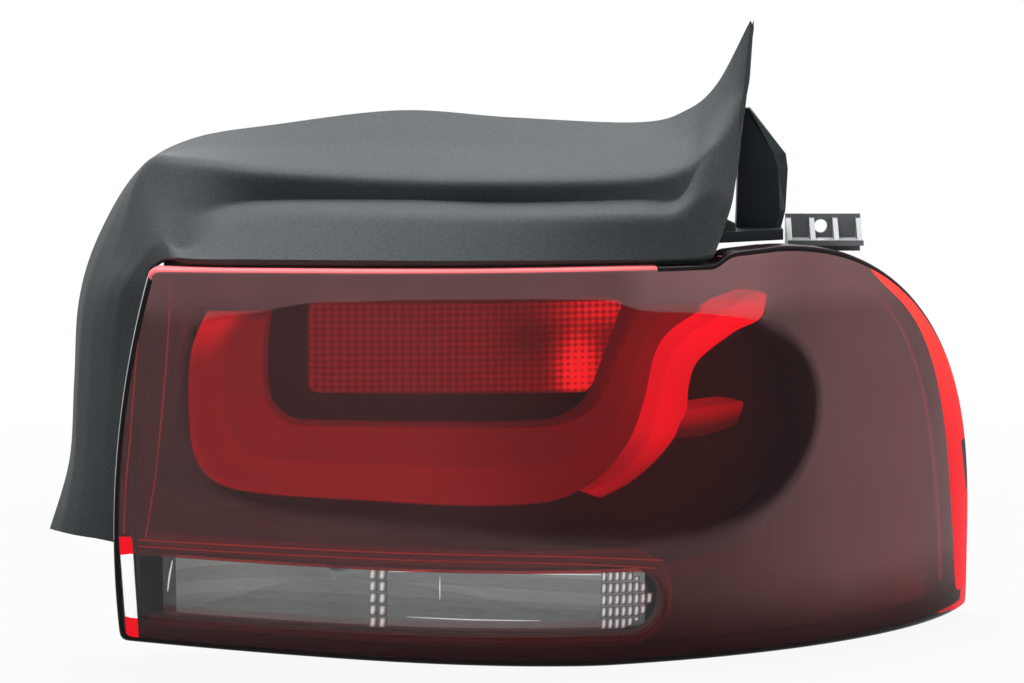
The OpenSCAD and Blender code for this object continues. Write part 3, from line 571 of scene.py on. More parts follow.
def curve(points: Line, count: int, endpoint: bool = True) -> Array:
    """A smooth curve through points, as a number of points at even shares of it."""
    return along(np.array(points, float), np.linspace(0, 1, count, endpoint=endpoint))


def even(points: Array, count: int, closed: bool = False) -> Array:
    """The same line with points at even distances.

    Args:
        points: The line.
        count: Number of points.
        closed: Whether it ends where it starts.

    Returns:
        The points; a closed line's last one isn't repeated.
    """
    line = np.vstack([points, points[:1]]) if closed else points
    length = np.concatenate([[0.0], np.cumsum(np.linalg.norm(np.diff(line, axis=0), axis=1))])
    at = np.linspace(0.0, length[-1], count, endpoint=not closed)
    return np.column_stack([np.interp(at, length, line[:, i]) for i in range(line.shape[1])])


def smoothed(points: Array, passes: int) -> Array:
    """A closed line with its corners rounded by averaging.

    Args:
        points: The line.
        passes: How often it is averaged.

    Returns:
        The rounded line.
    """
    for _ in range(passes):
        points = 0.5 * points + 0.25 * (np.roll(points, 1, 0) + np.roll(points, -1, 0))
    return points


def smooth_step(x: Array, low: float, high: float) -> Array:
    """0 below low, 1 above high and smooth between."""
    t = np.clip((x - low) / (high - low), 0.0, 1.0)
    return t * t * (3 - 2 * t)


def inside(points: Array, outline: Array) -> Array:
    """Whether each point lies in a closed outline.

    Args:
        points: The points.
        outline: The outline.

    Returns:
        True or False for each point.
    """
    a, b = outline, np.roll(outline, -1, 0)
    x, y = points[:, 0:1], points[:, 1:2]
    span = (a[:, 1] > y) != (b[:, 1] > y)
    rise = np.where(b[:, 1] == a[:, 1], 1e-9, b[:, 1] - a[:, 1])
    return (span & (x < a[:, 0] + (y - a[:, 1]) * (b[:, 0] - a[:, 0]) / rise)).sum(1) % 2 == 1


@dataclass(frozen=True)
class LampSpace:
    """The curved space of the lamp, with the same values as the CAD.

    Attributes:
        turn_x: X at which the wrap round the corner starts.
        wrap_width: Half axis of the wrap along X.
        wrap_depth: Half axis of the wrap along Y.
        wrap_angle: Angle in degrees that the wrap covers.
        rear_radius: Radius of the lens in plan, inboard of the wrap.
        crown_radius: Radius of the lens upright.
        depth: Distance of the lens from the studs' seat.
        left: Lowest u.
        top: Height of the upper edge inboard.
        hump: Height of the upper edge at its highest.
        foot: Height of the lower edge.
        fore_z: Height up to which the forward edge is straight.
        crest_x: X from which the upper edge bends down.
        crest_power: Power of that bend's curve.
        lean: How far the inboard edge leans out, over lean_run, from the height lean_z.
        lean_z: Height at which the inboard edge is furthest inboard.
        lean_run: Height over which it leans.
        foot_rise: How far the lower edge rises, over foot_run, inboard of foot_bend.
        foot_bend: X inboard of which the lower edge rises.
        foot_run: Length over which it rises.
        step: X at which the upper edge starts to step up to the hump, and where the step ends.
    """

    turn_x: float = -88.0
    wrap_width: float = 312.0
    wrap_depth: float = 240.0
    wrap_angle: float = 78.0
    rear_radius: float = 1200.0
    crown_radius: float = 900.0
    depth: float = 88.0
    left: float = -197.0
    top: float = 87.0
    hump: float = 93.0
    foot: float = -100.0
    fore_z: float = -60.0
    crest_x: float = 110.0
    crest_power: float = 2.3
    lean: float = 18.0
    lean_z: float = -40.0
    lean_run: float = 128.0
    foot_rise: float = 15.0
    foot_bend: float = 30.0
    foot_run: float = 227.0
    step: tuple[float, float] = (80.0, 90.0)

    @property
    def degree(self) -> float:
        """Length of u for one degree of the wrap."""
        return self.wrap_width * math.pi / 180

    @property
    def end(self) -> float:
        """u of the forward edge."""
        return self.turn_x + self.degree * self.wrap_angle

    @property
    def middle(self) -> Array:
        """Middle of the lens outline."""
        return np.array([(self.left + self.end) / 2, (self.hump + self.foot) / 2 - 1.5])

    @property
    def half(self) -> Array:
        """Half the extents of the lens outline."""
        return np.array([(self.end - self.left) / 2, (self.hump - self.foot) / 2])

    def plan(self, u: Array) -> Array:
        """X and Y of the lens surface.

        Args:
            u: Places along the lens.

        Returns:
            X and Y of each.
        """
        a = np.radians((u - self.turn_x) / self.degree)
        flat = u < self.turn_x
        x = np.where(flat, u, self.turn_x + self.wrap_width * np.sin(a))
        y = np.where(flat, (self.turn_x - u) ** 2 / (2 * self.rear_radius), self.wrap_depth * (1 - np.cos(a)))
        return np.stack([x, y - self.depth], -1)

    def inward(self, u: Array) -> Array:
        """Direction into the lamp, square to the lens in plan.

        Args:
            u: Places along the lens.

        Returns:
            A unit vector in X and Y for each.
        """
        a = np.radians((u - self.turn_x) / self.degree)
        flat = u < self.turn_x
        n = np.stack([np.where(flat, (self.turn_x - u) / self.rear_radius, -self.wrap_depth * np.sin(a)),
                      np.where(flat, 1.0, self.wrap_width * np.cos(a))], -1)
        return n / np.linalg.norm(n, axis=-1, keepdims=True)

    def at(self, outline: Array, d: Union[Array, float]) -> Array:
        """Points in the real frame.

        Args:
            outline: u and height, one a row.
            d: Depth, one number or one a row.

        Returns:
            X, Y and Z in millimetres.
        """
        p, n = self.plan(outline[..., 0]), self.inward(outline[..., 0])
        d = np.broadcast_to(d, outline.shape[:-1])
        z = outline[..., 1]
        return np.stack([p[..., 0] + d * n[..., 0], p[..., 1] + d * n[..., 1] + z * z / (2 * self.crown_radius), z], -1)

    def u_at(self, x: Array) -> Array:
        """u of the lens surface at X."""
        share = np.clip((x - self.turn_x) / self.wrap_width, 0, 1)
        return np.where(x < self.turn_x, x, self.turn_x + self.degree * np.degrees(np.arcsin(share)))

    def left_u(self, z: Array) -> Array:
        """u of the inboard edge at a height."""
        return self.left + self.lean * ((z - self.lean_z) / self.lean_run) ** 2

    def foot_height(self, x: Array) -> Array:
        """Height of the lower edge at X."""
        return self.foot - 0.5 + self.foot_rise * (np.maximum(self.foot_bend - x, 0) / self.foot_run) ** 1.3

    def top_height(self, x: Array) -> Array:
        """Height of the upper edge.

        Args:
            x: Places along X.

        Returns:
            The height at each.
        """
        start = self.step[0]
        rise = (self.hump - self.top + 1.2) * smooth_step(x, *self.step)
        rise = rise * np.minimum(1, 0.7 + 0.3 * (x - start) / (self.crest_x - start))
        return self.top - 1.2 * (x - self.left) / 270 + rise

    def outline(self, count: int = 640) -> Array:
        """The lens outline as u and height, from the lower inboard corner along the foot.

        Args:
            count: Number of points.

        Returns:
            The points.
        """
        u = np.linspace(self.left + 3, self.end, 400, endpoint=False)
        foot = np.column_stack([u, self.foot_height(self.plan(u)[:, 0])])
        z = np.linspace(self.foot, self.fore_z, 40, endpoint=False)
        fore = np.column_stack([np.full_like(z, self.end), z])
        t = np.radians(np.linspace(0, 90, 160, endpoint=False))
        reach = self.plan(np.array([self.end]))[0, 0] - self.crest_x
        x = self.crest_x + reach * np.cos(t) ** (2 / self.crest_power)
        z = self.fore_z + (self.hump - self.fore_z) * np.sin(t) ** (2 / self.crest_power)
        crest = np.column_stack([self.u_at(x), z])
        x = np.linspace(self.crest_x, float(self.left_u(np.array(self.top))), 300, endpoint=False)
        top = np.column_stack([self.u_at(x), self.top_height(x)])
        z = np.linspace(self.top, self.foot + 14, 160, endpoint=False)
        left = np.column_stack([self.left_u(z), z])
        return smoothed(even(np.vstack([foot, fore, crest, top, left]), count, closed=True), 2)

    def drawn_in(self, outline: Array, margin: float) -> Array:
        """The outline drawn in by a margin on all sides."""
        return self.middle + (outline - self.middle) * (1 - margin / self.half)


SPACE = LampSpace()


@dataclass(frozen=True)
class Window:
    """The clear reversing window, as X and height.

    Attributes:
        height: Height of the window.
        end: X at which its round end starts.
        z: Height of the centre line at the round end.
        rise: How far the centre line rises to the inboard end.
        bend: X at which it starts to rise.
        run: Length over which it rises.
    """

    height: float = 30.0
    end: float = 44.0
    z: float = -71.0
    rise: float = 12.0
    bend: float = 50.0
    run: float = 247.0

    def mid(self, x: Array) -> Array:
        """Height of the centre line at X."""
        return self.z + self.rise * (np.maximum(0, self.bend - x) / self.run) ** 1.5

    def outline(self, left: float, margin: float, count: int = 120) -> Array:
        """The window's outline from its lower inboard corner.

        Args:
            left: X of the inboard end.
            margin: How far it is drawn in.
            count: Points along each long side.

        Returns:
            X and height, one a row.
        """
        half = self.height / 2 - margin
        x = np.linspace(left, self.end, count)
        a = np.radians(np.linspace(-86, 86, 44))
        return np.vstack([np.column_stack([x, self.mid(x) - half]),
                          np.column_stack([self.end + half * np.cos(a), self.z + half * np.sin(a)]),
                          np.column_stack([x, self.mid(x) + half])[::-1]])


WINDOW = Window()


@dataclass
class Mesh:
    """A mesh before it is an object.

    Attributes:
        points: Points in millimetres.
        faces: Faces.
        numbers: Numbers that the points carry, by name.
        slots: Place of each face's material.
    """

    points: Array
    faces: Faces
    numbers: dict[str, Array] = field(default_factory=dict)
    slots: Optional[list[int]] = None

    def joined(self, other: "Mesh") -> "Mesh":
        """This mesh and another as one.

        Args:
            other: The other mesh.

        Returns:
            Both; a number that one of them lacks is 0 there.
        """
        base = len(self.points)
        keys = set(self.numbers) | set(other.numbers)
        numbers = {k: np.concatenate([self.numbers.get(k, np.zeros(base)),
                                      other.numbers.get(k, np.zeros(len(other.points)))]) for k in keys}
        faces = self.faces + [tuple(i + base for i in f) for f in other.faces]
        slots = (self.slots or [0] * len(self.faces)) + (other.slots or [0] * len(other.faces))
        return Mesh(np.vstack([self.points, other.points]), faces, numbers, slots)

    def data(self, name: str) -> bpy.types.Mesh:
        """Points and faces as Blender's mesh, in metres.

        Args:
            name: Name of the mesh.

        Returns:
            Blender's mesh.
        """
        data = bpy.data.meshes.new(name)
        data.from_pydata((self.points * MM).tolist(), [], self.faces)
        return data


def loft(loops: Sequence[Array], closed: bool = False, ends: bool = True) -> Mesh:
    """A skin through closed loops of equal length.

    Args:
        loops: The loops, each points in millimetres.
        closed: Whether the last loop joins the first.
        ends: Whether the first and last loop are filled by fans.

    Returns:
        The mesh.
    """
    n, count = len(loops[0]), len(loops)
    points, faces = np.vstack(loops), []
    for k in range(count if closed else count - 1):
        a, b = k * n, ((k + 1) % count) * n
        faces += [(a + i, a + (i + 1) % n, b + (i + 1) % n, b + i) for i in range(n)]
    if ends and not closed:
        points = np.vstack([points, loops[0].mean(0), loops[-1].mean(0)])
        first, last = count * n, (count - 1) * n
        for i in range(n):
            j = (i + 1) % n
            faces += [(first, j, i), (first + 1, last + i, last + j)]
    return Mesh(points, faces)


def drawn(lines: Sequence[Array]) -> Mesh:
    """A closed skin whose sections join the points of some lines, one line after the other."""
    return loft([np.array(section) for section in zip(*lines)])


def quads(rows: int, columns: int) -> Faces:
    """Faces of a grid of points that are numbered row by row."""
    return [(i * columns + j, i * columns + j + 1, (i + 1) * columns + j + 1, (i + 1) * columns + j)
            for i in range(rows - 1) for j in range(columns - 1)]


def placed(name: str, data: bpy.types.ID) -> bpy.types.Object:
    """A new object in the scene.

    Args:
        name: Name of the object.
        data: Its mesh, lamp or camera.

    Returns:
        The object.
    """
    obj = bpy.data.objects.new(name, data)
    bpy.context.scene.collection.objects.link(obj)
    return obj


def oriented(data: bpy.types.Mesh, weld: float = 0.0) -> None:
    """Turn a mesh's faces outwards.

    Args:
        data: The mesh.
        weld: Distance in metres under which points are welded first.
    """
    work = bmesh.new()
    work.from_mesh(data)
    if weld:
        bmesh.ops.remove_doubles(work, verts=work.verts, dist=weld)
    bmesh.ops.recalc_face_normals(work, faces=work.faces)
    work.to_mesh(data)
    work.free()


def cut(obj: bpy.types.Object, outline: Array, low: float, high: float) -> None:
    """Cut a prism along Y out of an object.

    Args:
        obj: The object.
        outline: X and height of the prism in millimetres.
        low: Lowest Y.
        high: Highest Y.
    """
    near = np.column_stack([outline[:, 0], np.full(len(outline), low), outline[:, 1]])
    cutter = placed("cutter", loft([near, near + [0, high - low, 0]]).data("cutter"))
    oriented(cutter.data)
    tool = obj.modifiers.new("cut", "BOOLEAN")
    tool.object, tool.operation, tool.solver = cutter, "DIFFERENCE", "EXACT"
    bpy.context.view_layer.update()
    result = bpy.data.meshes.new_from_object(obj.evaluated_get(bpy.context.evaluated_depsgraph_get()))
    obj.modifiers.clear()
    obj.data = result
    bpy.data.objects.remove(cutter)


class Piece:
    """One visible piece of the part."""

    def __init__(self, name: str, slot: str, finishes: Sequence[Finishes], replaces: Sequence[str] = (),
                 sharp: float = 32.0) -> None:
        """Keep what the piece is called, made of and stands for.

        Args:
            name: Name of the object.
            slot: The record's material slot; it is kept but not used.
            finishes: The materials of the mesh's places.
            replaces: CAD nodes that it stands for.
            sharp: Angle in degrees above which an edge stays sharp.
        """
        self.name, self.slot, self.finishes = name, slot, finishes
        self.replaces, self.sharp = replaces, sharp

    def make(self, mesh: Mesh) -> bpy.types.Object:
        """Turn a mesh into an object with its finishes and its place in the frame.

        Args:
            mesh: The mesh.

        Returns:
            The object.
        """
        data = mesh.data(self.name)
        if mesh.slots:
            data.polygons.foreach_set("material_index", mesh.slots)
        for key, numbers in mesh.numbers.items():
            data.attributes.new(key, "FLOAT", "POINT").data.foreach_set("value", np.asarray(numbers, np.float32))
        data.validate()
        return self.dress(placed(self.name, data))

    def shade(self, obj: bpy.types.Object) -> None:
        """Shade an object smooth, apart from its sharp edges."""
        obj.data.shade_smooth()
        obj.data.set_sharp_from_angle(angle=math.radians(self.sharp))

    def dress(self, obj: bpy.types.Object) -> bpy.types.Object:
        """Weld, orient, smooth and finish an object, and tie it to the frame.

        Args:
            obj: The object.

        Returns:
            The same object.
        """
        oriented(obj.data, WELD)
        self.shade(obj)
        if obj.data.materials:
            obj.data.materials.clear()
        for finish in self.finishes:
            obj.data.materials.append(finish.material())
        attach(obj, ROOT)
        if self.replaces:
            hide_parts(*self.replaces)
        LOG.info("%s: %d faces", self.name, len(obj.data.polygons))
        return obj

    def from_node(self, node: str) -> bpy.types.Object:
        """A smooth-shaded copy of a CAD node that stands for it."""
        self.replaces = (node,)
        return self.dress(placed(self.name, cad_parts[node].data.copy()))


class Place(IntEnum):
    """Place of each material on the outer lenses."""

    FACE = 0
    BACK = 1
    # TOP and LEFT take painted highlights of the edge.
    TOP = 2
    LEFT = 3
    # Painted shade on the edge.
    DARK = 4


@dataclass
class OuterLens:
    """The red lens and the clear window moulded into it.

    Attributes:
        wall: Wall of the lens.
        skirt: Depth of the skirt.
        pitch: Spacing of the points inside the face.
        count: Points round the outline.
        rim_count: Points along the inner border of the painted bright rim.
        rim_margin: How far the painted bright rim lies inside the outline.
        rim_start: Lowest u and height of its outer border.
        border: Half the width over which the painted rim, the painted end and the notch of painted shade fade.
        veil_share: Share of the painted sheen at the left and what the right adds to it.
        hidden: Painted sheen over the patch at the left, lower there as painted shade over the pocket, and what the
            right takes off it.
        flat: How far the face lies back where the wrap starts.
        flat_size: Width and height over which it does.
        patch_points: Control points of the patch in painted shade, with less of the painted sheen, as u and height.
        rim_points: Control points of the painted bright rim's inner border.
        end_heights: Highest and lowest height of the painted bright end at the left.
        notch_points: Corners of the notch of painted shade in the rim.
        rims: Margin and depth of each loop of the rounded edge, from the face outwards.
    """

    wall: float = 2.8
    skirt: float = 12.0
    pitch: float = 5.0
    count: int = 640
    rim_count: int = 70
    rim_margin: float = 3.3
    rim_start: tuple[float, float] = (190.0, -90.5)
    border: float = 0.2
    veil_share: tuple[float, float] = (0.14, 0.17)
    hidden: tuple[float, float] = (0.075, 0.045)
    flat: float = 0.36
    flat_size: tuple[float, float] = (70.0, 60.0)
    patch_points: Points = (
        (-163, 45), (-160.4, 60), (-154, 65), (-127, 67), (-112, 71), (-64, 72.6), (-9, 72.4), (38, 71), (46, 65.5),
        (82, 63.5), (117, 58.7), (136, 51), (151, 38), (157, 22), (156, 7), (147, -10), (130, -26), (108, -36),
        (82, -40.5), (50, -42), (10, -39.7), (-33, -34), (-65, -30), (-97, -26.3), (-129, -23.6), (-149, -14.5),
        (-160, 1.6), (-163.4, 22))
    rim_points: Points = (
        (345, -90), (318, -90.2), (307.5, -89.2), (302.8, -84), (298.5, -66.3), (292.3, -45.3), (287.6, -28),
        (282.3, -10.8), (275.3, 4.5), (267.9, 18.3), (260.3, 29.4), (251.5, 39.8), (240.3, 50.3), (227.2, 59.6),
        (216.5, 65.6), (205.3, 71.9), (196.5, 77.5))
    end_heights: tuple[float, float] = (-36.6, -85.5)
    notch_points: Points = ((311, -14), (325, -12), (331.5, -40), (327, -41))
    rims: Points = ((2.8, 0.0), (1.9, 0.13), (1.2, 0.32), (0.6, 0.9), (0.2, 1.7), (0.0, 2.7))

    def window_line(self, loop: Array) -> tuple[int, int, Array]:
        """Where the window's edge crosses the inner loop.

        Args:
            loop: The inner loop of the face.

        Returns:
            The loop's points at the lower and the upper end, and the line between them.
        """
        edge = WINDOW.outline(SPACE.left + 8, 0.0)
        u = np.column_stack([SPACE.u_at(edge[:, 0]), edge[:, 1]])
        lefts = np.where(loop[:, 0] < SPACE.left + 14)[0]
        low = lefts[np.argmin(abs(loop[lefts, 1] - u[0, 1]))]
        high = lefts[np.argmin(abs(loop[lefts, 1] - u[-1, 1]))]
        return int(low), int(high), u

    def face(self, loop: Array, line: Array, low: int, high: int) -> tuple[Array, Faces]:
        """Triangles of the face in lamp space, with the window's edge and the marks among them.

        Args:
            loop: The inner loop of the face.
            line: The window's edge.
            low: Point of the loop where that edge starts.
            high: Point of the loop where it ends.

        Returns:
            The points and the triangles.
        """
        n = len(loop)
        u, z = np.meshgrid(np.arange(SPACE.left, SPACE.end, self.pitch), np.arange(SPACE.foot, SPACE.hump, self.pitch))
        grid = np.column_stack([(u + (np.arange(len(u)) % 2)[:, None] * self.pitch / 2).ravel(), z.ravel()])
        grid = grid[inside(grid, SPACE.middle + (loop - SPACE.middle) * 0.985)]
        pairs = self.marks()
        for out, in_ in pairs:
            grid = grid[~inside(grid, out) | inside(grid, in_)]
        marks = [mark for pair in pairs for mark in pair]
        lines = np.vstack([line] + marks)
        near = np.min(np.linalg.norm(grid[:, None] - lines[None], axis=2), axis=1)
        grid = grid[near > self.pitch * 0.35]
        points = np.vstack([loop, lines, grid])
        edges = [(i, (i + 1) % n) for i in range(n)]
        edges += [(low, n)] + [(n + i, n + i + 1) for i in range(len(line) - 1)] + [(n + len(line) - 1, high)]
        first = n + len(line)
        for mark in marks:
            edges += [(first + i, first + (i + 1) % len(mark)) for i in range(len(mark))]
            first += len(mark)
        found = delaunay_2d_cdt([Vector(p) for p in points], edges, [], 0, 1e-6)
        return np.array([tuple(v) for v in found[0]]), [tuple(f) for f in found[2]]

    def build(self) -> None:
        """Make both lenses, their edge finishes and the ribs behind them."""
        outline = SPACE.outline(self.count)
        loop = SPACE.drawn_in(outline, self.rims[0][0])
        low, high, line = self.window_line(loop)
        verts, faces = self.face(loop, line, low, high)
        middle = np.array([verts[list(f)].mean(0) for f in faces])
        kept = inside(middle, loop)
        beyond = SPACE.left - 20
        window = np.vstack([loop[low], line, loop[high], [beyond, loop[high, 1]], [beyond, loop[low, 1]]])
        clear = inside(middle, window)
        columns = np.zeros(self.count, bool)
        a, b = sorted((low, high))
        columns[a:b] = True
        veil = self.veil(verts)
        edges = (Finishes.LENS_EDGE_LEFT, Finishes.LENS_EDGE_DARK)
        red = (Finishes.LENS_RED, Finishes.LENS_RED_INNER, Finishes.LENS_EDGE_TOP, *edges)
        for name, pick, on, finishes in (("red", kept & ~clear, ~columns, red),
                                         ("clear", kept & clear, columns, (*[Finishes.LENS_CLEAR] * 3, *edges))):
            mesh = self.shell(verts, [f for f, p in zip(faces, pick) if p], veil, outline, on)
            Piece(f"lens_{name}_dressed", f"{name}_lens", finishes, (f"lens_{name}",), 40.0).make(mesh)
        self.ribs()

    @staticmethod
    def grown(outline: Array, by: Union[Array, float]) -> Array:
        """A closed outline moved outwards.

        Args:
            outline: The outline.
            by: The distance, one number or one a point.

        Returns:
            The moved outline.
        """
        way = np.roll(outline, -1, 0) - np.roll(outline, 1, 0)
        out = np.column_stack([way[:, 1], -way[:, 0]])
        out /= np.linalg.norm(out, axis=1, keepdims=True)
        area = np.sum(outline[:, 0] * np.roll(outline[:, 1], -1) - np.roll(outline[:, 0], -1) * outline[:, 1])
        return outline + np.sign(area) * out * np.reshape(by, (-1, 1))

    def patch(self, grow: float) -> Array:
        """The patch of painted shade over the pocket, with less of the painted sheen, grown by a share of its soft
        border.
        """
        line = smoothed(even(np.array(self.patch_points, float), 150, closed=True), 3)
        return self.grown(line, grow * np.where(line[:, 1] > 58, 0.4, 3.5))

    def strips(self, grow: float) -> list[Array]:
        """The painted bright rim at the right and the painted bright end at the left.

        Args:
            grow: Length by which both are grown.

        Returns:
            Both outlines; the rim's ends with its inner border.
        """
        outer = SPACE.drawn_in(SPACE.outline(self.count), self.rim_margin)
        outer = outer[(outer > self.rim_start).all(1)][::3]
        inner = even(curve(self.rim_points, 200), self.rim_count)[::-1]
        high, low = self.end_heights
        top, foot = SPACE.left_u(np.array([high, low - 0.5]))
        end = np.array([[top + 3.1, high], [top + 9.0, high], [foot + 9.2, low], [foot + 3.6, low]])
        return [self.grown(np.vstack([outer, inner]), grow), self.grown(even(end, 40, closed=True), grow)]

    def notch(self, grow: float) -> Array:
        """The notch of painted shade in the rim, grown by a length."""
        return self.grown(even(np.array(self.notch_points, float), 28, closed=True), grow)

    def marks(self) -> list[tuple[Array, Array]]:
        """Closed lines that the triangles follow.

        Returns:
            The outer and the inner line of each soft border: patch, rim, end and notch.
        """
        out, in_ = self.border, -self.border
        return [(self.patch(1.0), self.patch(-1.0)), *zip(self.strips(out), self.strips(in_)),
                (self.notch(out), self.notch(in_))]

    def veil(self, verts: Array) -> dict[str, Array]:
        """The painted light and shade that the lens shows at each point of the face.

        Args:
            verts: The points in lamp space.

        Returns:
            Shares of the painted sheen ("veil"), the painted bright rim ("rim") and the notch of painted shade
            ("dark").
        """
        u, z = verts[:, 0], verts[:, 1]
        # Painted sheen: more at the right and along the top, less towards the foot, and lowered over the pocket as
        # painted shade.
        share = self.veil_share[0] + self.veil_share[1] * smooth_step(u, 60, 190)
        share = share * (0.16 + 0.84 * smooth_step(z, -98, -60)) + 0.13 * smooth_step(z, 58, 74)
        share += 0.16 * smooth_step(u, 36, 60) * (1 - smooth_step(u, 110, 150)) * smooth_step(z, 56, 70)
        hidden = self.hidden[0] - self.hidden[1] * smooth_step(u, -60, 30)
        share = np.where(inside(verts, self.patch(0.0)), hidden, share)
        # Painted glow of the rim and of the left end.
        right, left = self.strips(0.0)
        half = len(right) - self.rim_count
        wide = np.vstack([self.grown(right, 7.0)[:half], right[half:]])
        rim = (inside(verts, wide) | inside(verts, left)).astype(float)
        dark = inside(verts, self.notch(0.0)).astype(float)
        return {"veil": share, "rim": rim * (1 - dark), "dark": dark}

    def shell(self, verts: Array, faces: Faces, veil: dict[str, Array], outline: Array, on: Array) -> Mesh:
        """One closed shell: front, back, skirt and the walls along the window.

        Args:
            verts: Points of the face in lamp space.
            faces: The faces that belong to this lens.
            veil: Haze, rim and notch at each point.
            outline: The lens outline.
            on: Columns of the outline that belong to this lens.

        Returns:
            The mesh.
        """
        used = np.unique([i for f in faces for i in f])
        place = {int(v): k for k, v in enumerate(used)}
        n = len(used)
        face = verts[used]
        wide, high = self.flat_size
        flat = self.flat * np.exp(-(((face[:, 0] - SPACE.turn_x) / wide) ** 2) - (face[:, 1] / high) ** 2)
        front = Mesh(SPACE.at(face, flat), [tuple(place[i] for i in f) for f in faces],
                     {k: v[used] for k, v in veil.items()}, [Place.FACE] * len(faces))
        back = Mesh(SPACE.at(face, self.wall), [tuple(place[i] for i in f[::-1]) for f in faces], {},
                    [Place.BACK] * len(faces))
        mesh = front.joined(back)
        edges = dict.fromkeys((i, j) for f in front.faces for i, j in zip(f, f[1:] + f[:1]))
        rim = SPACE.drawn_in(outline, self.rims[0][0])
        for i, j in edges:
            if (j, i) not in edges:
                mid = (face[i] + face[j]) / 2
                if np.min(np.linalg.norm(rim - mid, axis=1)) > 1.2:
                    mesh.faces.append((j, i, i + n, j + n))
                    mesh.slots.append(Place.BACK)
        margins = (*self.rims, (0.0, self.skirt), (self.wall, self.skirt), (self.wall, self.wall))
        skirt = loft([SPACE.at(SPACE.drawn_in(outline, m), d) for m, d in margins], ends=False)
        keep, slots, bands, regions = [], [], len(margins) - 1, self.regions(outline)
        # The two inner bands of the skirt take the near-black finish as painted shade.
        for k in range(bands):
            for i in np.flatnonzero(on):
                keep.append(skirt.faces[k * self.count + i])
                slots.append(Place.DARK if k >= bands - 2 else self.band_place(regions[i], k))
        edge = self.veil(rim)
        # The skirt at the lower right takes the rim's painted glow too.
        edge["rim"] = np.where((rim[:, 0] > 290) & (rim[:, 1] < 0), 1.0, edge["rim"])
        numbers = {k: np.tile(edge[k], len(margins)) for k in ("rim", "veil")}
        return mesh.joined(Mesh(skirt.points, keep, numbers, slots))

    @staticmethod
    def band_place(region: Place, band: int) -> Place:
        """Material of one band of the rounded edge.

        Args:
            region: The column's finish.
            band: Number of the band, from the face outwards.

        Returns:
            Place of the material.
        """
        if region is Place.LEFT:
            return Place.LEFT if band >= 3 else Place.DARK
        return region if region is Place.DARK or band >= 1 else Place.FACE

    @staticmethod
    def regions(outline: Array) -> list[Place]:
        """Finish of the edge along the outline: painted highlights at the top and left, painted shade where it is dark.

        Args:
            outline: The outline.

        Returns:
            The finish of each column.
        """
        u, z = outline[:, 0], outline[:, 1]
        top = (z > SPACE.top - 3.2) & (u < 60) & (u > SPACE.left + 16)
        left = (u < SPACE.left + 21) & (z > -38)
        # Painted shade where the edge is seen dark.
        dark = ((u < SPACE.left + 8) & (z < -38)) | ((z < -84) & (u < 296)) | ((u > 175) & (u < 280) & (z > 0)) | (
            (z > SPACE.top - 3) & (u >= 60) & (u < 175))
        return [Place.TOP if t else Place.LEFT if s else Place.DARK if d else Place.FACE
                for t, s, d in zip(top, left, dark)]

    def rib(self, name: str, line: Array, side: Array, height: float) -> None:
        """One thin rib on the inner face, seen edge on as a fine line.

        Args:
            name: Name of the piece.
            line: Its middle, as u and height.
            side: Half its width, as a vector.
            height: How far it stands off the face.
        """
        edges = ((-1, self.wall), (-1, self.wall + height), (1, self.wall + height), (1, self.wall))
        Piece(name, "red_lens", (Finishes.LENS_RIB,)).make(drawn([SPACE.at(line + s * side, d) for s, d in edges]))

    def ribs(self) -> None:
        """Upright ribs at the left, ribs over the window and one that follows the outline."""
        upright, level = np.array([0.16, 0.0]), np.array([0.0, 0.14])
        for name, side, points in (
                ("left_outer", upright, ((-183.8, 68.7), (-188.3, 16.5), (-191, -12), (-192.5, -35.8))),
                ("left_inner", upright, ((-169.6, 82.4), (-172, 43.7), (-176.9, -4.5), (-182.4, -38))),
                ("window_upper", level, ((-186, -38.5), (-134, -41), (-65, -44.2), (11, -47.7), (64, -52))),
                ("window_second", level, ((-186, -41.5), (-134, -44.2), (-65, -47.4), (11, -51), (60, -55.5)))):
            self.rib(f"lens_rib_{name}", curve(points, 60), side, 2.2)
        line = curve(((94, 89), (116.7, 87.6), (142.3, 83.7), (174.5, 78.4), (203.5, 65.9), (227.6, 50),
                      (246.8, 29.3), (261.3, 6), (272.1, -19.8), (281.5, -50.8), (287.1, -82)), 120)
        side = (SPACE.middle - line) / np.linalg.norm(SPACE.middle - line, axis=1)[:, None] * 0.22
        self.rib("lens_rib_outer_contour", line, side, 1.6)


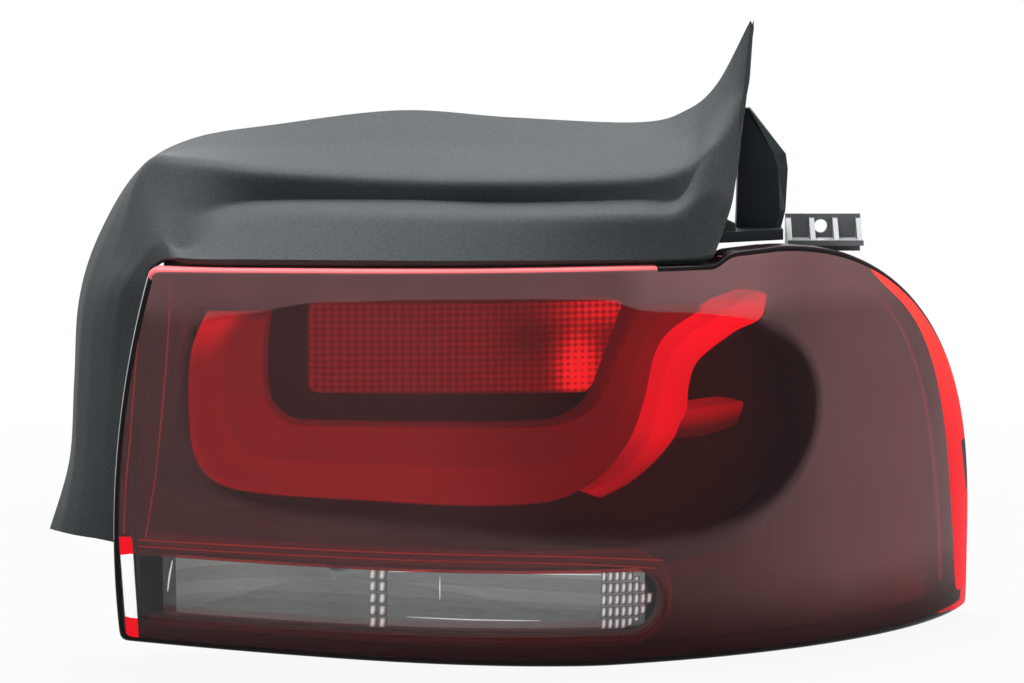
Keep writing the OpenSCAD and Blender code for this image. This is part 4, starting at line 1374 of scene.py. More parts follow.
@dataclass
class Bezel:
    """The dark bezel with its pocket.

    Attributes:
        wall: Wall of the bezel.
        rim: Depth of its rim.
        plain: Depth of its field.
        floor: Depth of the pocket's floor.
        inset: How far the rim lies inside the lens outline.
        middle: Middle of the pocket in lamp space.
        half: Half its extents.
        count: Points round the pocket and the rim.
        sharp: Angle in degrees above which an edge stays sharp.
    """

    wall: float = 2.4
    rim: float = 9.0
    plain: float = 15.0
    floor: float = 46.0
    inset: float = 6.0
    middle: tuple[float, float] = (0.0, 12.0)
    half: tuple[float, float] = (184.0, 62.0)
    count: int = 480
    sharp: float = 38.0

    def pocket(self) -> Array:
        """The pocket's outline.

        Returns:
            u and height, one a row.
        """
        foot = ((-180, -14), (-159, -22), (-136, -28), (-89, -35), (-39, -43), (39, -53), (80, -55), (115, -51),
                (150, -40), (170, -27), (182, -10), (187, 12), (182, 34), (168, 54), (152, 69), (132, 76.5))
        top = (foot[-1], (20, 75), (-80, 75), (-166, 75))
        line = [curve(points, count, endpoint=False)
                for points, count in ((foot, 400), (top, 200), ((top[-1], (-173, 30), foot[0]), 80))]
        return smoothed(even(np.vstack(line), self.count, closed=True), 5)

    def pocket_in(self, margin: float, outline: Array) -> Array:
        """The pocket's outline drawn in by a margin."""
        return self.middle + (outline - self.middle) * (1 - margin / np.array(self.half))

    def loops(self, offset: float) -> list[Array]:
        """The loops of one face of the bezel, from the pocket's floor to the rim.

        Args:
            offset: How far the face lies behind the front one.

        Returns:
            The loops.
        """
        pocket, lens = self.pocket(), even(SPACE.outline(), self.count, closed=True)
        shift = int(np.argmin(np.linalg.norm(lens - SPACE.middle - np.array([-260.0, -90.0]), axis=1)))
        lens = np.roll(lens, -shift, 0)
        shift = int(np.argmin(np.linalg.norm(pocket - np.array([-180.0, -14.0]), axis=1)))
        pocket = np.roll(pocket, -shift, 0)
        field_edge = SPACE.drawn_in(lens, self.inset + 2)
        out = [SPACE.at(np.array(self.middle) + s * (pocket - self.middle), self.floor + offset)
               for s in np.linspace(0.04, 0.9, 12)]
        profile = ((4.0, 46.0), (3.6, 44.0), (3.1, 38.0), (2.5, 31.0), (1.7, 25.0), (0.8, 21.3), (-0.4, 18.6),
                   (-2.2, 16.9), (-4.5, 15.9), (-7.5, 15.3))
        out += [SPACE.at(self.pocket_in(m - offset * 0.8, pocket), d + offset * (0.2 + 0.8 * (d < 20)))
                for m, d in profile]
        edge = self.pocket_in(profile[-1][0] - offset * 0.8, pocket)
        out += [SPACE.at(edge * (1 - t) + field_edge * t, self.plain + offset + 0.3 * (1 - t))
                for t in np.linspace(0.08, 1.0, 12)]
        out += [SPACE.at(SPACE.drawn_in(lens, self.inset + m), d + offset)
                for m, d in ((1.6, 14.2), (1.0, 12.6), (0.5, 11.0), (0.1, 9.6), (0.0, self.rim))]
        return out

    def build(self) -> None:
        """Make the bezel and the raised rim round the window."""
        piece = Piece("bezel_dressed", "bezel_plastic", (Finishes.BEZEL,), ("bezel",), self.sharp)
        obj = piece.make(loft(self.loops(0.0) + self.loops(self.wall)[::-1]))
        cut(obj, WINDOW.outline(SPACE.left + 11, 1.2), -110.0, 0.0)
        piece.shade(obj)
        self.window_rim()

    def window_rim(self) -> None:
        """A rim with fine ridges round the reversing window."""
        profile = ((-0.6, 0.9), (-1.2, 0.0), (-2.6, 0.0), (-2.9, 0.5), (-3.2, 0.0), (-5.0, 0.0), (-5.3, 0.5),
                   (-5.6, 0.0), (-7.4, 0.1), (-8.6, 0.9))
        lines = []
        for m, d in profile:
            edge = WINDOW.outline(SPACE.left + 14, m)
            lines.append(SPACE.at(np.column_stack([SPACE.u_at(edge[:, 0]), edge[:, 1]]), self.plain - 1.6 + d))
        lines += [line + [0, 0.9, 0] for line in lines[::-1]]
        Piece("window_rim", "bezel_plastic", (Finishes.WINDOW_RIM,), sharp=25.0).make(drawn(lines))


@dataclass
class LightGuides:
    """The U-shaped tail band and the hook-shaped brake band.

    Attributes:
        back: Depth of their backs.
        tail_front: Depth of the tail band's front.
        hook_front: Depth of the hook band's front.
        inner: Points across the face of a band, between its rounded sides.
    """

    back: float = 45.2
    tail_front: float = 27.0
    hook_front: float = 21.0
    inner: int = 17

    def bar(self, left: Line, right: Line, front: float, count: int, light: Callable[[Array, Array], Array],
            ends: tuple[float, float] = (4.0, 4.0), crown: float = 2.4) -> Mesh:
        """A crowned bar between two edges of lamp space.

        Args:
            left: One edge, as u and height.
            right: The other edge.
            front: Depth of its front.
            count: Sections along it.
            light: Painted brightness from the share along and the share across.
            ends: Length of the rounding at its two ends.
            crown: Height of the face's crown.

        Returns:
            The mesh, with its width and its painted brightness at each point.
        """
        share = np.linspace(0, 1, count)
        a, b = curve(left, count), curve(right, count)
        length = np.concatenate([[0], np.cumsum(np.linalg.norm(np.diff((a + b) / 2, axis=0), axis=1))])
        s = np.concatenate([[0, 0, 0.01, 0.03], np.linspace(0.07, 0.93, self.inner), [0.97, 0.99, 1, 1]])
        side = [self.back, front + 7, front + 2.4, front + 1.0]
        face = front + crown * (2 * abs(s[4:4 + self.inner] - 0.5)) ** 2.6 * 0.5
        rise = np.concatenate([side, face, side[::-1]])
        loops, bright = [], []
        for k in range(count):
            reach = min(length[k] / ends[0], (length[-1] - length[k]) / ends[1], 1.0)
            drop = (1 - math.sqrt(max(0.0, 1 - (1 - reach) ** 2))) * 6.0
            loops.append(SPACE.at(a[k] + s[:, None] * (b[k] - a[k]), np.minimum(rise + drop, self.back)))
            bright.append(light(np.full_like(s, share[k]), s))
        mesh, ends_middle = loft(loops), [0.5, 0.5]
        mesh.numbers = {"across": np.concatenate([np.tile(s, count), ends_middle]),
                        "light": np.concatenate(bright + [ends_middle])}
        return mesh

    @staticmethod
    def tail_light(t: Array, s: Array) -> Array:
        """Painted light on the tail band: brightest at its inboard tip and darkest at the foot of its outboard arm.

        Args:
            t: Share of the length.
            s: Share of the width.

        Returns:
            The brightness.
        """
        tip = smooth_step(1.0 - t / 0.085 - np.maximum(0, s - 0.3) / 0.55, 0.0, 0.75)
        run = 0.19 + 0.025 * smooth_step(t, 0.28, 0.4) - 0.105 * smooth_step(t, 0.42, 0.55)
        run = run + 0.075 * smooth_step(t, 0.7, 0.85)
        corner = 0.03 * smooth_step(t, 0.12, 0.2) * (1 - smooth_step(t, 0.3, 0.36))
        lit_edge = 0.07 * (1 - smooth_step(s, 0.02, 0.12)) * (1 - smooth_step(t, 0.25, 0.4))
        return run + corner * s + lit_edge + 0.45 * tip

    @staticmethod
    def hook_light(t: Array, s: Array) -> Array:
        """Painted light on the hook: even, with painted shade at its foot."""
        foot = 0.5 * smooth_step(t, 0.62, 0.9) + 0.14 * smooth_step(s, 0.5, 1.0) * smooth_step(t, 0.5, 0.8)
        return 1.08 - 0.24 * smooth_step(t, 0.22, 0.42) - foot

    @staticmethod
    def arm_light(t: Array, s: Array) -> Array:
        """Painted light on the hook's short arm, with painted shade darkest at its lower edge."""
        return (0.02 + 0.4 * smooth_step(s, 0.2, 0.95)) * (1 - 0.35 * t)

    def build(self) -> None:
        """Make both bands."""
        outer = ((-158, 63), (-165, 44), (-166, 16), (-163, -4), (-152, -16), (-128, -21), (-80, -24), (-30, -27),
                 (10, -26.5), (30, -21), (45, -12), (58, 3), (66, 21), (72, 42), (82, 53), (104, 63))
        inner = ((-127, 64), (-129, 48), (-129, 33), (-127, 22), (-118, 14), (-106, 12.5), (-80, 12), (-40, 11.5),
                 (0, 11), (16, 11.5), (29, 15), (38, 21), (45, 32), (51, 45), (57, 56), (61, 64))
        left = ((120, 65), (106, 60), (95, 55.3), (80.6, 46.5), (73, 32.7), (69.5, 18.8), (66.7, 8.1), (59.8, -2),
                (47, -13.3), (29, -20.8))
        right = ((140.4, 69), (136, 57), (117.6, 51), (95.2, 39), (89, 27.4), (87.3, 14.7), (80.8, 3.6), (68.5, -8),
                 (54.2, -17.4), (37.5, -24.2))
        low, high = ((75, 2), (98, 2.5), (120, 7)), ((84, 15), (104, 17), (125, 18))
        small = ((1.5, 1.5), 1.6)
        tail = self.bar(outer, inner, self.tail_front, 260, self.tail_light)
        hook = self.bar(left, right, self.hook_front, 200, self.hook_light, *small)
        hook = hook.joined(self.bar(low, high, self.hook_front + 0.4, 60, self.arm_light, *small))
        for name, slot, finish, mesh in (("tail", "tail_guide", Finishes.TAIL, tail),
                                         ("hook", "brake_guide", Finishes.HOOK, hook)):
            Piece(f"{name}_band_dressed", slot, (finish,), (f"{name}_band",), 45.0).make(mesh)


@dataclass
class IndicatorLens:
    """The inner lens with its pillow optics.

    Attributes:
        front: Depth of its front.
        back: Depth of its back.
        cell: Pitch of the pillows along u and z.
        bulge: Height of a pillow.
        corner: Radius of its corners.
        rounding: Radius of its front edge.
        span: Height of its face.
        ends: The two ends of its lower edge, then of its upper edge.
        columns: Points along u.
        rows: Points along z.
    """

    front: float = 31.0
    back: float = 45.7
    cell: tuple[float, float] = (3.9, 3.0)
    bulge: float = 0.55
    corner: float = 5.0
    rounding: float = 1.6
    span: float = 43.5
    ends: Points = ((-109.0, 26.5), (36.0, 25.0), (-109.0, 70.0), (56.0, 68.5))
    columns: int = 270
    rows: int = 86

    def grid(self) -> Array:
        """The face's points in lamp space, with the rows drawn in at the corners.

        Returns:
            The points, row by row.
        """
        low, high = np.array(self.ends[:2]), np.array(self.ends[2:])
        rows = []
        for v in np.linspace(0, 1, self.rows):
            a, b = low[0] + v * (high[0] - low[0]), low[1] + v * (high[1] - low[1])
            near = self.corner - min(min(v, 1 - v) * self.span, self.corner)
            inset = self.corner - math.sqrt(max(0.0, self.corner**2 - near**2))
            a, b = a + [inset, 0], b - [inset, 0]
            rows.append(a + np.linspace(0, 1, self.columns)[:, None] * (b - a))
        return np.array(rows)

    @staticmethod
    def light(u: Array, z: Array) -> Array:
        """Painted light on the optics: a painted glow in two places, a patch of painted shade and a painted lighter
        inboard end.

        Args:
            u: u of each point.
            z: Height of each point.

        Returns:
            The brightness.
        """
        painted_hotspots = 1.1 * np.exp(-((u - 42) / 22) ** 2 - ((z - 64) / 7) ** 2)
        painted_hotspots += 2.6 * np.exp(-((u - 29) / 9.5) ** 2 - ((z - 36) / 14) ** 2)
        dim = np.exp(-((u - 4) / 16) ** 2 - ((z - 52) / 13) ** 2)
        return np.maximum(0.19 + painted_hotspots - 0.17 * dim + 0.06 * (1 - smooth_step(u, -109, -104)), 0.04)

    def build(self) -> None:
        """Make the lens as one closed skin."""
        columns, rows = self.columns, self.rows
        grid = self.grid()
        u, z = grid[..., 0], grid[..., 1]
        pu = np.cos(2 * np.pi * (u - self.ends[0][0]) / self.cell[0])
        pz = np.cos(2 * np.pi * (z - self.ends[0][1]) / self.cell[1])
        crown = np.clip(0.5 - 0.25 * (pu + pz), 0, 1)
        across, up = np.meshgrid(np.linspace(0, 1, columns), np.linspace(0, 1, rows))
        edge = np.minimum.reduce([across * 150, (1 - across) * 150, up * self.span, (1 - up) * self.span])
        fade = np.clip(edge / self.rounding, 0, 1)
        depth = self.front + (1 - np.sqrt(1 - (1 - fade) ** 2)) * self.rounding - self.bulge * crown * fade + 0.3
        rim = [(0, j) for j in range(columns)] + [(i, columns - 1) for i in range(1, rows)]
        rim += [(rows - 1, j) for j in range(columns - 2, -1, -1)] + [(i, 0) for i in range(rows - 2, 0, -1)]
        border = np.array([grid[r] for r in rim])
        points = np.vstack([SPACE.at(grid.reshape(-1, 2), depth.ravel()), SPACE.at(border, self.back),
                            SPACE.at(border.mean(0)[None], self.back)])
        faces, base, count = quads(rows, columns), rows * columns, len(rim)
        index = [i * columns + j for i, j in rim]
        for k in range(count):
            m = (k + 1) % count
            faces += [(index[m], index[k], base + k, base + m), (base + m, base + k, base + count)]
        extra = np.full(count + 1, 0.3)
        # Painted highlights on the crowns and the painted light of the optics.
        numbers = {"crown": np.concatenate([(crown * fade).ravel(), extra]),
                   "light": np.concatenate([self.light(u, z).ravel(), extra])}
        Piece("indicator_lens_dressed", "indicator_plastic", (Finishes.PILLOW,), ("indicator_lens",), 60.0).make(
            Mesh(points, faces, numbers))


@dataclass
class ReversingUnit:
    """The clear inner lens, its prism fields and the bright trough.

    Attributes:
        rows: Rows of prisms.
        gap: Half the gap between two rows.
        fields: For each field its start and end along u and its columns.
        bulb: X and height of the hole about the bulb.
        seat: Radius of the flat round that hole.
        hole: Radius of the hole.
        trough_back: Y of the trough's back.
        trough_wall: Wall of the trough there.
    """

    rows: int = 5
    gap: float = 0.35
    fields: tuple[tuple[float, float, int], ...] = ((-79.5, -70.5, 2), (34.5, 62.5, 8))
    bulb: tuple[float, float] = (-96.0, -54.0)
    seat: float = 15.5
    hole: float = 9.5
    trough_back: float = -15.0
    trough_wall: float = 1.8

    def half_height(self, u: Array) -> Array:
        """Half the height of the inner lens at u."""
        return WINDOW.height / 2 - 0.6 - np.where(u > WINDOW.end, (np.maximum(u - WINDOW.end, 0) / 5) ** 2, 0)

    def plate(self) -> None:
        """The clear plate."""
        u = np.linspace(-176, 61, 160)
        half, mid = self.half_height(u), WINDOW.mid(SPACE.plan(u)[:, 0])
        section = ((-1, 12.3), (-0.5, 12.0), (0, 11.9), (0.5, 12.0), (1, 12.3), (1, 14.6), (0, 14.6), (-1, 14.6))
        Piece("reversing_lens_dressed", "prism_plastic", (Finishes.CLEAR_PLATE,), ("reversing_prisms",)).make(
            drawn([SPACE.at(np.column_stack([u, mid + s * half]), d) for s, d in section]))

    def prisms(self) -> None:
        """The prism fields as rows of small crowned bars."""
        for number, (start, end, columns) in enumerate(self.fields):
            whole, width = Mesh(np.zeros((0, 3)), []), (end - start) / columns
            tall = (WINDOW.height - 1.6) / self.rows
            for u0 in start + width * np.arange(columns):
                half = float(self.half_height(np.array(u0 + width / 2)))
                mid = float(WINDOW.mid(SPACE.plan(np.array([u0 + width / 2]))[0, 0]))
                for r in range(self.rows):
                    foot = 0.8 - WINDOW.height / 2 + r * tall
                    low, high = max(foot + self.gap, -half), min(foot + tall - self.gap, half)
                    if high - low > 1.6:
                        whole = whole.joined(self.prism(u0 + 0.2, width - 0.4, mid + low, mid + high))
            Piece(f"prism_field_{number}", "prism_plastic", (Finishes.PRISM,), sharp=50.0).make(whole)

    @staticmethod
    def prism(u0: float, width: float, low: float, high: float) -> Mesh:
        """One prism: a slanted crowned bar.

        Args:
            u0: u of its inboard side.
            width: Its width.
            low: Height of its foot.
            high: Height of its top.

        Returns:
            Its front, with its crown and its painted highlight at each point.
        """
        across, up = 9, 7
        s, t = np.meshgrid(np.linspace(0, 1, across), np.linspace(0, 1, up))
        lean = 0.12 * width * (t - 0.5)
        u, z = u0 + s * width + lean, low + t * (high - low)
        bulge = np.sin(np.pi * s) ** 0.8 * np.sin(np.pi * np.clip(t, 0.02, 0.98)) ** 0.4
        points = SPACE.at(np.column_stack([u.ravel(), z.ravel()]), 11.9 - 0.9 * bulge.ravel())
        # Painted highlight on one facet, fading towards the foot and top.
        light = np.clip(1.15 - 2.4 * abs(s - 0.30), 0.06, 1) * np.clip(6 * np.minimum(t, 1 - t), 0.1, 1)
        return Mesh(points, quads(up, across), {"crown": bulge.ravel(), "light": light.ravel()})

    def trough(self) -> None:
        """The bright trough and the hole about the bulb; its horizontal steps are painted light and shade in its
        material.
        """
        n, back, behind = 60, self.trough_back, self.trough_back - self.trough_wall
        corners = np.array([[-171, -76.4], [62, -88], [62, -58], [-171, -48.6]])
        share = np.linspace(0, 1, n, endpoint=False)[:, None]
        front = SPACE.at(np.vstack([a + share * (b - a) for a, b in zip(corners, np.roll(corners, -1, 0))]), 20.0)
        turn = np.radians(225 + 90 * np.arange(4 * n) / n)

        def circle(radius: float, y: float) -> Array:
            """A loop round the hole."""
            return np.column_stack([self.bulb[0] + radius * np.cos(turn), np.full(4 * n, y),
                                    self.bulb[1] + radius * np.sin(turn)])

        def ring(t: float, y: float) -> Array:
            """A loop on the way from the front edge to the flat round the hole.

            Args:
                t: Share of the way.
                y: Y of the trough's back there.

            Returns:
                The loop.
            """
            loop = front * (1 - t) + circle(self.seat, y) * t
            loop[:, 1] = front[:, 1] + (y - front[:, 1]) * t**0.6
            return loop

        shares = np.linspace(0, 0.94, 18)
        loops = [ring(t, back) for t in shares]
        loops += [circle(self.seat, back), circle(self.hole, back), circle(self.hole, behind),
                  circle(self.seat - self.trough_wall, behind)]
        loops += [ring(t, behind) + [0, -1.2, 0] for t in shares[:0:-1]]
        Piece("reversing_reflector_dressed", "bright_plastic", (Finishes.TROUGH,), ("reversing_reflector",),
              50.0).make(loft(loops, closed=True))

    def glints(self) -> None:
        """Painted glints: thin bars on the back of the inner lens that carry painted highlights."""
        lines = (((-171.7, -49.8), (-173.2, -57), (-174.2, -64.5)), ((-61.3, -76.2), (-30.8, -78.1), (4.4, -79.7)),
                 ((-45.3, -57.4), (-45.4, -63), (-45.4, -68.3)), ((-70.3, -54.7), (-60, -54.6), (-49.2, -54.5)),
                 ((-0.2, -57.1), (20, -58.2), (41.2, -59.4)))
        count = 24
        for number, (points, wide) in enumerate(zip(lines, (0.42, 0.3, 0.3, 0.3, 0.3))):
            line = curve(points, count)
            way = np.gradient(line, axis=0)
            side = np.column_stack([-way[:, 1], way[:, 0]]) / np.linalg.norm(way, axis=1)[:, None] * wide
            side = side * (0.35 + 0.65 * np.sin(np.pi * np.linspace(0, 1, count)))[:, None]
            mesh = drawn([SPACE.at(line + s * side, d) for s, d in ((-1, 14.7), (0, 14.5), (1, 14.7), (0, 15.0))])
            # A full painted highlight along the glint.
            mesh.numbers = {"crown": np.ones(len(mesh.points)), "light": np.ones(len(mesh.points))}
            Piece(f"reversing_lens_painted_glint_{number}", "prism_plastic", (Finishes.PRISM,)).make(mesh)

    def build(self) -> None:
        """Make the unit."""
        self.plate()
        self.prisms()
        self.glints()
        self.trough()


@dataclass
class TrimPanel:
    """The grained trim: lines from its outer edge to the lens, each from the leg's foot to the horn.

    Attributes:
        wall: Wall of the panel.
        edge_wall: Its wall at the edge along the lens.
        lip: Depth of the lip behind its outer edge.
        stations: Sections along it.
        folds: Shares of the way from one line to the next at which the face has points.
        crease: Share of that way over which a crease is rounded.
        soft: How far a crease is rounded off, as a share of its bend.
    """

    wall: float = 2.6
    edge_wall: float = 1.0
    lip: float = 12.0
    stations: int = 240
    folds: tuple[float, ...] = (0.0, 0.04, 0.09, 0.16, 0.3, 0.5, 0.7, 0.84, 0.91, 0.96)
    crease: float = 0.16
    soft: float = 0.045

    LINES = (
        ((-230, -28, -42), (-221, -19, -10), (-219, -12, 28), (-217, -6, 65), (-208, 0, 95), (-190, 9, 124.5),
         (-165, 12, 139), (-125, 12, 146), (-67, 12, 153), (-14, 12, 149.5), (47, 12, 147), (71, 12, 153.5),
         (87, 12, 167.5), (101.5, 10, 197.6)),
        ((-223, -42, -41), (-217, -38, -9), (-215, -34, 29), (-212, -30, 67), (-203, -24, 94), (-187, -10, 127),
         (-166, -11, 135), (-128, -12, 136.5), (-66, -14, 138), (-14, -13, 136.5), (47, -11, 136.5), (71, -6, 141),
         (83, -4, 152), (99, 0, 168)),
        ((-216, -50, -41), (-211, -48, -8), (-208.5, -46, 30), (-205, -44, 68), (-196, -41, 91.5), (-184, -30, 129),
         (-165, -39, 132), (-130, -40, 127.5), (-66, -46, 124), (-14, -46, 123), (46, -38, 124), (67, -31, 128.5),
         (79, -24, 137), (94, -8, 151)),
        ((-210, -55, -41), (-206, -54, -8), (-203, -53, 31), (-199, -53, 70), (-190, -53, 88.5), (-179, -47, 111),
         (-163, -51, 109.5), (-130, -41, 113), (-66, -46, 114), (-14, -45, 113), (42, -40, 113.5), (64, -36, 114),
         (77, -29, 130), (92, -18, 133)),
        ((-204, -59, -41), (-201, -59, -8), (-198, -59, 31), (-193, -60, 70), (-185, -60, 86), (-175, -60, 97),
         (-163, -63.5, 92.5), (-130, -56, 108.5), (-65, -62, 108), (-14, -60, 107), (39, -52, 107), (62, -45, 107.5),
         (77, -36, 117), (88, -32, 112)),
        ((-195.5, -64, -42), (-194.6, -64, -9), (-190.2, -65, 31), (-181.9, -64, 72), (-179.6, -62.8, 83.6),
         (-171, -66, 89), (-161, -74, 88.2), (-133, -78, 88), (-65, -78.5, 87.8), (-14, -72.5, 87.6), (46, -56, 87.3),
         (67, -48, 87.3), (75, -45, 87.5), (80, -44, 88.6)))

    def grid(self) -> Array:
        """The points of the face.

        Returns:
            The points, section by section.
        """
        lines = [curve(line, self.stations) for line in self.LINES]
        rows, last = [], len(lines) - 1
        for k in range(last):
            a, b, before, after = lines[k], lines[k + 1], lines[max(0, k - 1)], lines[min(last, k + 2)]
            for s in self.folds:
                straight = a + s * (b - a)
                near = max(0.0, self.crease - s) / self.crease if k else 0.0
                far = max(0.0, s + self.crease - 1) / self.crease if k < last - 1 else 0.0
                rows.append(straight + self.soft * (near**2 * (before + b - 2 * a) + far**2 * (a + after - 2 * b)))
        rows.append(lines[last])
        return np.array(rows).transpose(1, 0, 2)

    def lip_frame(self, t: Array) -> tuple[Array, Array, Array]:
        """Shape of the lip: straight back on the leg, down elsewhere, and short at the horn's tip.

        Args:
            t: Shares of the panel's length.

        Returns:
            Its way back, the side that its wall lies on, and its length.
        """
        k = np.clip((t - 0.3) / 0.12, 0, 1)[:, None]
        way = np.hstack([0.25 * (1 - k), 1 - 0.88 * k, -k])
        side = np.hstack([1 - k, -k, 0 * k])
        reach = self.lip * (1 - 0.7 * np.clip((t - 0.93) / 0.07, 0, 1))[:, None]
        return (way / np.linalg.norm(way, axis=1, keepdims=True), side / np.linalg.norm(side, axis=1, keepdims=True),
                reach)

    def build(self) -> None:
        """Make the panel with its wall and lip."""
        grid = self.grid()
        normal = np.cross(np.gradient(grid, axis=1), np.gradient(grid, axis=0))
        normal /= np.maximum(np.linalg.norm(normal, axis=2, keepdims=True), 1e-6)
        edge, n = grid[:, 0], normal[:, 0]
        way, side, reach = self.lip_frame(np.linspace(0, 1, self.stations))
        foot = reach * way
        loops = [edge - 0.8 * side + foot, edge - 0.8 * side + 4 * way, edge - 0.8 * side + 1.5 * way,
                 edge - 0.35 * side + 0.4 * way, *grid.transpose(1, 0, 2)]
        last = grid.shape[1] - 1
        loops += [grid[:, j] + (self.edge_wall if j == last else self.wall) * normal[:, j] for j in range(last, 0, -1)]
        loops += [edge + self.wall * n + side + way, edge + (self.wall - 0.8) * side + foot]
        Piece("trim_panel_dressed", "trim_plastic", (Finishes.TRIM,), ("trim_panel",), 40.0).make(drawn(loops))
        self.foam()

    def foam(self) -> None:
        """A thin foam strip under the edge along the lens."""
        edge = along(np.array(self.LINES[-1], float), np.linspace(0.36, 0.93, 120))
        corners = ((2.6, -3.4), (3.8, -3.4), (3.8, 1.4), (2.6, 1.0))
        Piece("trim_foam_strip", "seal_foam", (Finishes.FOAM,)).make(drawn([edge + [0, y, z] for y, z in corners]))


@dataclass
class Studs:
    """Threaded studs with their heads.

    Attributes:
        radius: Outer radius of the thread.
        root: Its root radius.
        pitch: Its pitch.
        length: Length of the thread.
        sides: Points round a stud.
        head: Y and radius of the sections of head, collar and the thread's start.
        places: X and height of each stud.
    """

    radius: float = 3.0
    root: float = 2.62
    pitch: float = 1.0
    length: float = 22.0
    sides: int = 28
    head: Points = ((-14.5, 5.2), (-14.3, 5.5), (-12.1, 5.5), (-12.0, 3.5), (-0.1, 3.5), (0.0, 3.0))
    places: Points = ((0, 0), (-163, 22), (20, -60))

    def one(self, x: float, z: float) -> Mesh:
        """A stud as one skin from its head to its rounded tip.

        Args:
            x: X of its axis.
            z: Height of its axis.

        Returns:
            The mesh.
        """
        turn = np.linspace(0, 2 * np.pi, self.sides, endpoint=False)
        rows: list[tuple[float, Union[Array, float]]] = list(self.head)
        for y in np.arange(0.6, self.length - 1.0, self.pitch / 8):
            wave = abs(((y / self.pitch - turn / (2 * np.pi)) % 1.0) * 2 - 1)
            rows.append((y, self.root + (self.radius - self.root) * np.clip(wave * 1.35, 0, 1)))
        rows += [(self.length - 0.9, self.root), (self.length - 0.1, 2.0), (self.length, 1.7)]
        return loft([np.column_stack([x + r * np.cos(turn), np.full(self.sides, y), z + r * np.sin(turn)])
                     for y, r in rows])

    def build(self) -> None:
        """Make the three studs as one piece."""
        whole = self.one(*self.places[0])
        for place in self.places[1:]:
            whole = whole.joined(self.one(*place))
        Piece("mounting_studs_dressed", "stud_steel", (Finishes.ZINC,), ("mounting_studs",), 50.0).make(whole)


class CarriedOver:
    """CAD nodes that keep their shape, with a finish or as a smooth-shaded copy."""

    PLAIN = {
        "indicator_bulb": Finishes.BULB_GLASS, "indicator_cap": Finishes.CAP, "reversing_bulb": Finishes.BULB_GLASS,
        "reversing_cap": Finishes.CAP, "tail_board": Finishes.BOARD, "brake_board": Finishes.BOARD,
        "led_chips": Finishes.CHIP, "bulb_carrier": Finishes.CARRIER, "carrier_gasket": Finishes.FOAM,
        "carrier_screws": Finishes.ZINC, "feed_strips": Finishes.BRASS, "bulb_strips": Finishes.BRASS,
        "connector_shell": Finishes.PLUG, "connector_pins": Finishes.TIN, "vent_cap": Finishes.RUBBER,
        "stud_seals": Finishes.FOAM, "locating_pins": Finishes.ZINC, "fixing_lug": Finishes.LUG,
        "trim_frame": Finishes.FRAME, "trim_clips": Finishes.SPRING, "frame_screws": Finishes.ZINC,
        "corner_seal": Finishes.FOAM}
    SMOOTH = {"housing": ("housing_plastic", Finishes.HOUSING),
              "indicator_reflector": ("bright_plastic", Finishes.BRIGHT)}

    def build(self) -> None:
        """Dress every node that no other class replaces."""
        for node, finish in self.PLAIN.items():
            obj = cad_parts[node]
            obj.data.materials.clear()
            obj.data.materials.append(finish.material())
            LOG.info("%s: carried over", node)
        for node, (slot, finish) in self.SMOOTH.items():
            Piece(f"{node}_dressed", slot, (finish,), sharp=28.0).from_node(node)


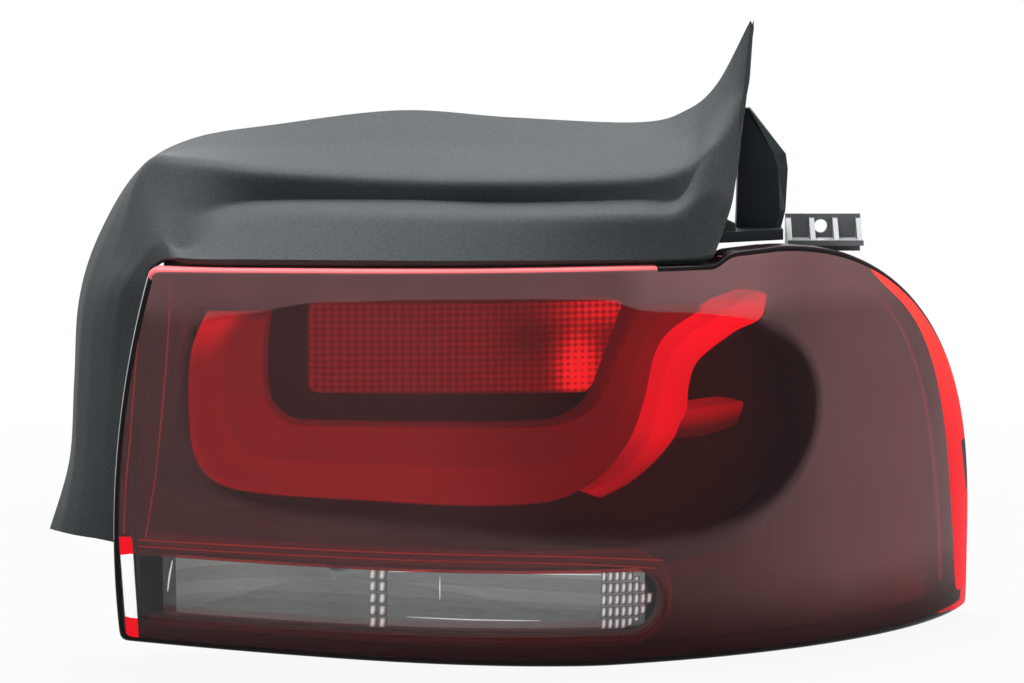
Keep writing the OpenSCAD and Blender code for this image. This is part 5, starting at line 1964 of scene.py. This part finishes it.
@dataclass
class Studio:
    """Floor, world, lamps and camera.

    Attributes:
        target: Middle of the picture, in metres.
        distance: From the target to the camera.
        elevation: Angle of the camera over the horizon.
        focal: Focal length in pixels.
        picture_width: Width of the picture that it holds for, in pixels.
        floor_z: Height of the floor.
        floor_half: Half the floor's width.
    """

    target: tuple[float, float, float] = (-0.01365, -0.088, 0.054)
    distance: float = 1.8
    elevation: float = 6.0
    focal: float = 3956.0
    picture_width: int = 1024
    floor_z: float = -0.1045
    floor_half: float = 30.0

    def seen(self, g: Graph) -> Value:
        """Whether a ray comes from the camera, from gloss or through a clear piece.

        Args:
            g: The tree that asks.

        Returns:
            1 or 0.
        """
        path = g.node("ShaderNodeLightPath", {}, {})
        rays = [Value(g, path.outputs[k]) for k in ("Is Camera Ray", "Is Glossy Ray", "Is Transmission Ray")]
        return rays[0].math("MAXIMUM", rays[1]).math("MAXIMUM", rays[2])

    def floor(self) -> None:
        """A wide pale floor."""
        g = Graph("floor_pale")
        white = g.shader("ShaderNodeEmission", Color=(1.0, 1.0, 1.0), Strength=1.0)
        matt = g.shader("ShaderNodeBsdfDiffuse", Color=(0.3, 0.3, 0.3))
        x, y, _ = g.parts()
        away = (x * x + y * y).math("SQRT").ramp(350, 1100)
        material = g.finish(g.blend((0.93 + 0.07 * away) * self.seen(g), matt, white))
        data = bpy.data.meshes.new("floor")
        s, z = self.floor_half, self.floor_z
        data.from_pydata([(-s, -s, z), (s, -s, z), (s, s, z), (-s, s, z)], [], [(0, 1, 2, 3)])
        data.materials.append(material)
        floor = placed("floor", data)

    def world(self) -> None:
        """White to the camera and to gloss, a faint bluish dome to everything else."""
        world = bpy.context.scene.world = bpy.data.worlds.new("studio")
        g = Graph("studio", world)
        white = g.shader("ShaderNodeBackground", Color=(1.0, 1.0, 1.0), Strength=1.0)
        dome = g.shader("ShaderNodeBackground", Color=(0.72, 0.93, 1.0), Strength=0.14)
        g.finish(g.blend(self.seen(g), dome, white))

    def lamp(self, name: str, place: Sequence[float], power: float, size: tuple[float, float]) -> None:
        """One soft white rectangular lamp that points at the part.

        Args:
            name: Name of the lamp.
            place: Where it hangs, in metres.
            power: Watts.
            size: Width and height, in metres.
        """
        data = bpy.data.lights.new(name, "AREA")
        data.shape, data.size, data.size_y = "RECTANGLE", *size
        data.energy = power
        lamp = placed(name, data)
        lamp.location = place
        lamp.rotation_euler = (Vector(self.target) - lamp.location).to_track_quat("-Z", "Y").to_euler()

    def camera(self) -> None:
        """The camera at the photograph's angle."""
        data = bpy.data.cameras.new("camera")
        data.lens = data.sensor_width * self.focal / self.picture_width
        camera = bpy.context.scene.camera = placed("camera", data)
        tilt = math.radians(self.elevation)
        camera.location = Vector(self.target) + self.distance * Vector((0, -math.cos(tilt), math.sin(tilt)))
        camera.rotation_euler = (math.pi / 2 - tilt, 0, 0)

    def build(self) -> None:
        """Set the stage."""
        bpy.context.scene.view_settings.view_transform = "Standard"
        self.camera()
        self.floor()
        self.world()
        self.lamp("overhead", (-0.1, 0.15, 1.5), 62.0, (1.8, 0.9))
        self.lamp("front_left", (-1.3, -1.7, 0.9), 2.0, (0.9, 1.2))
        self.lamp("front_right", (1.5, -1.2, 0.7), 2.4, (0.9, 1.2))
        self.lamp("behind", (0.2, 1.6, 0.8), 9.0, (1.2, 1.0))


def main() -> None:
    """Build the part's looks in order."""
    logging.basicConfig(level=logging.INFO, format="%(message)s")
    for unit in (Studio(), OuterLens(), Bezel(), LightGuides(), IndicatorLens(), ReversingUnit(), TrimPanel(), Studs(),
                 CarriedOver()):
        LOG.info("building %s", type(unit).__name__)
        unit.build()


if __name__ == "__main__":
    main()
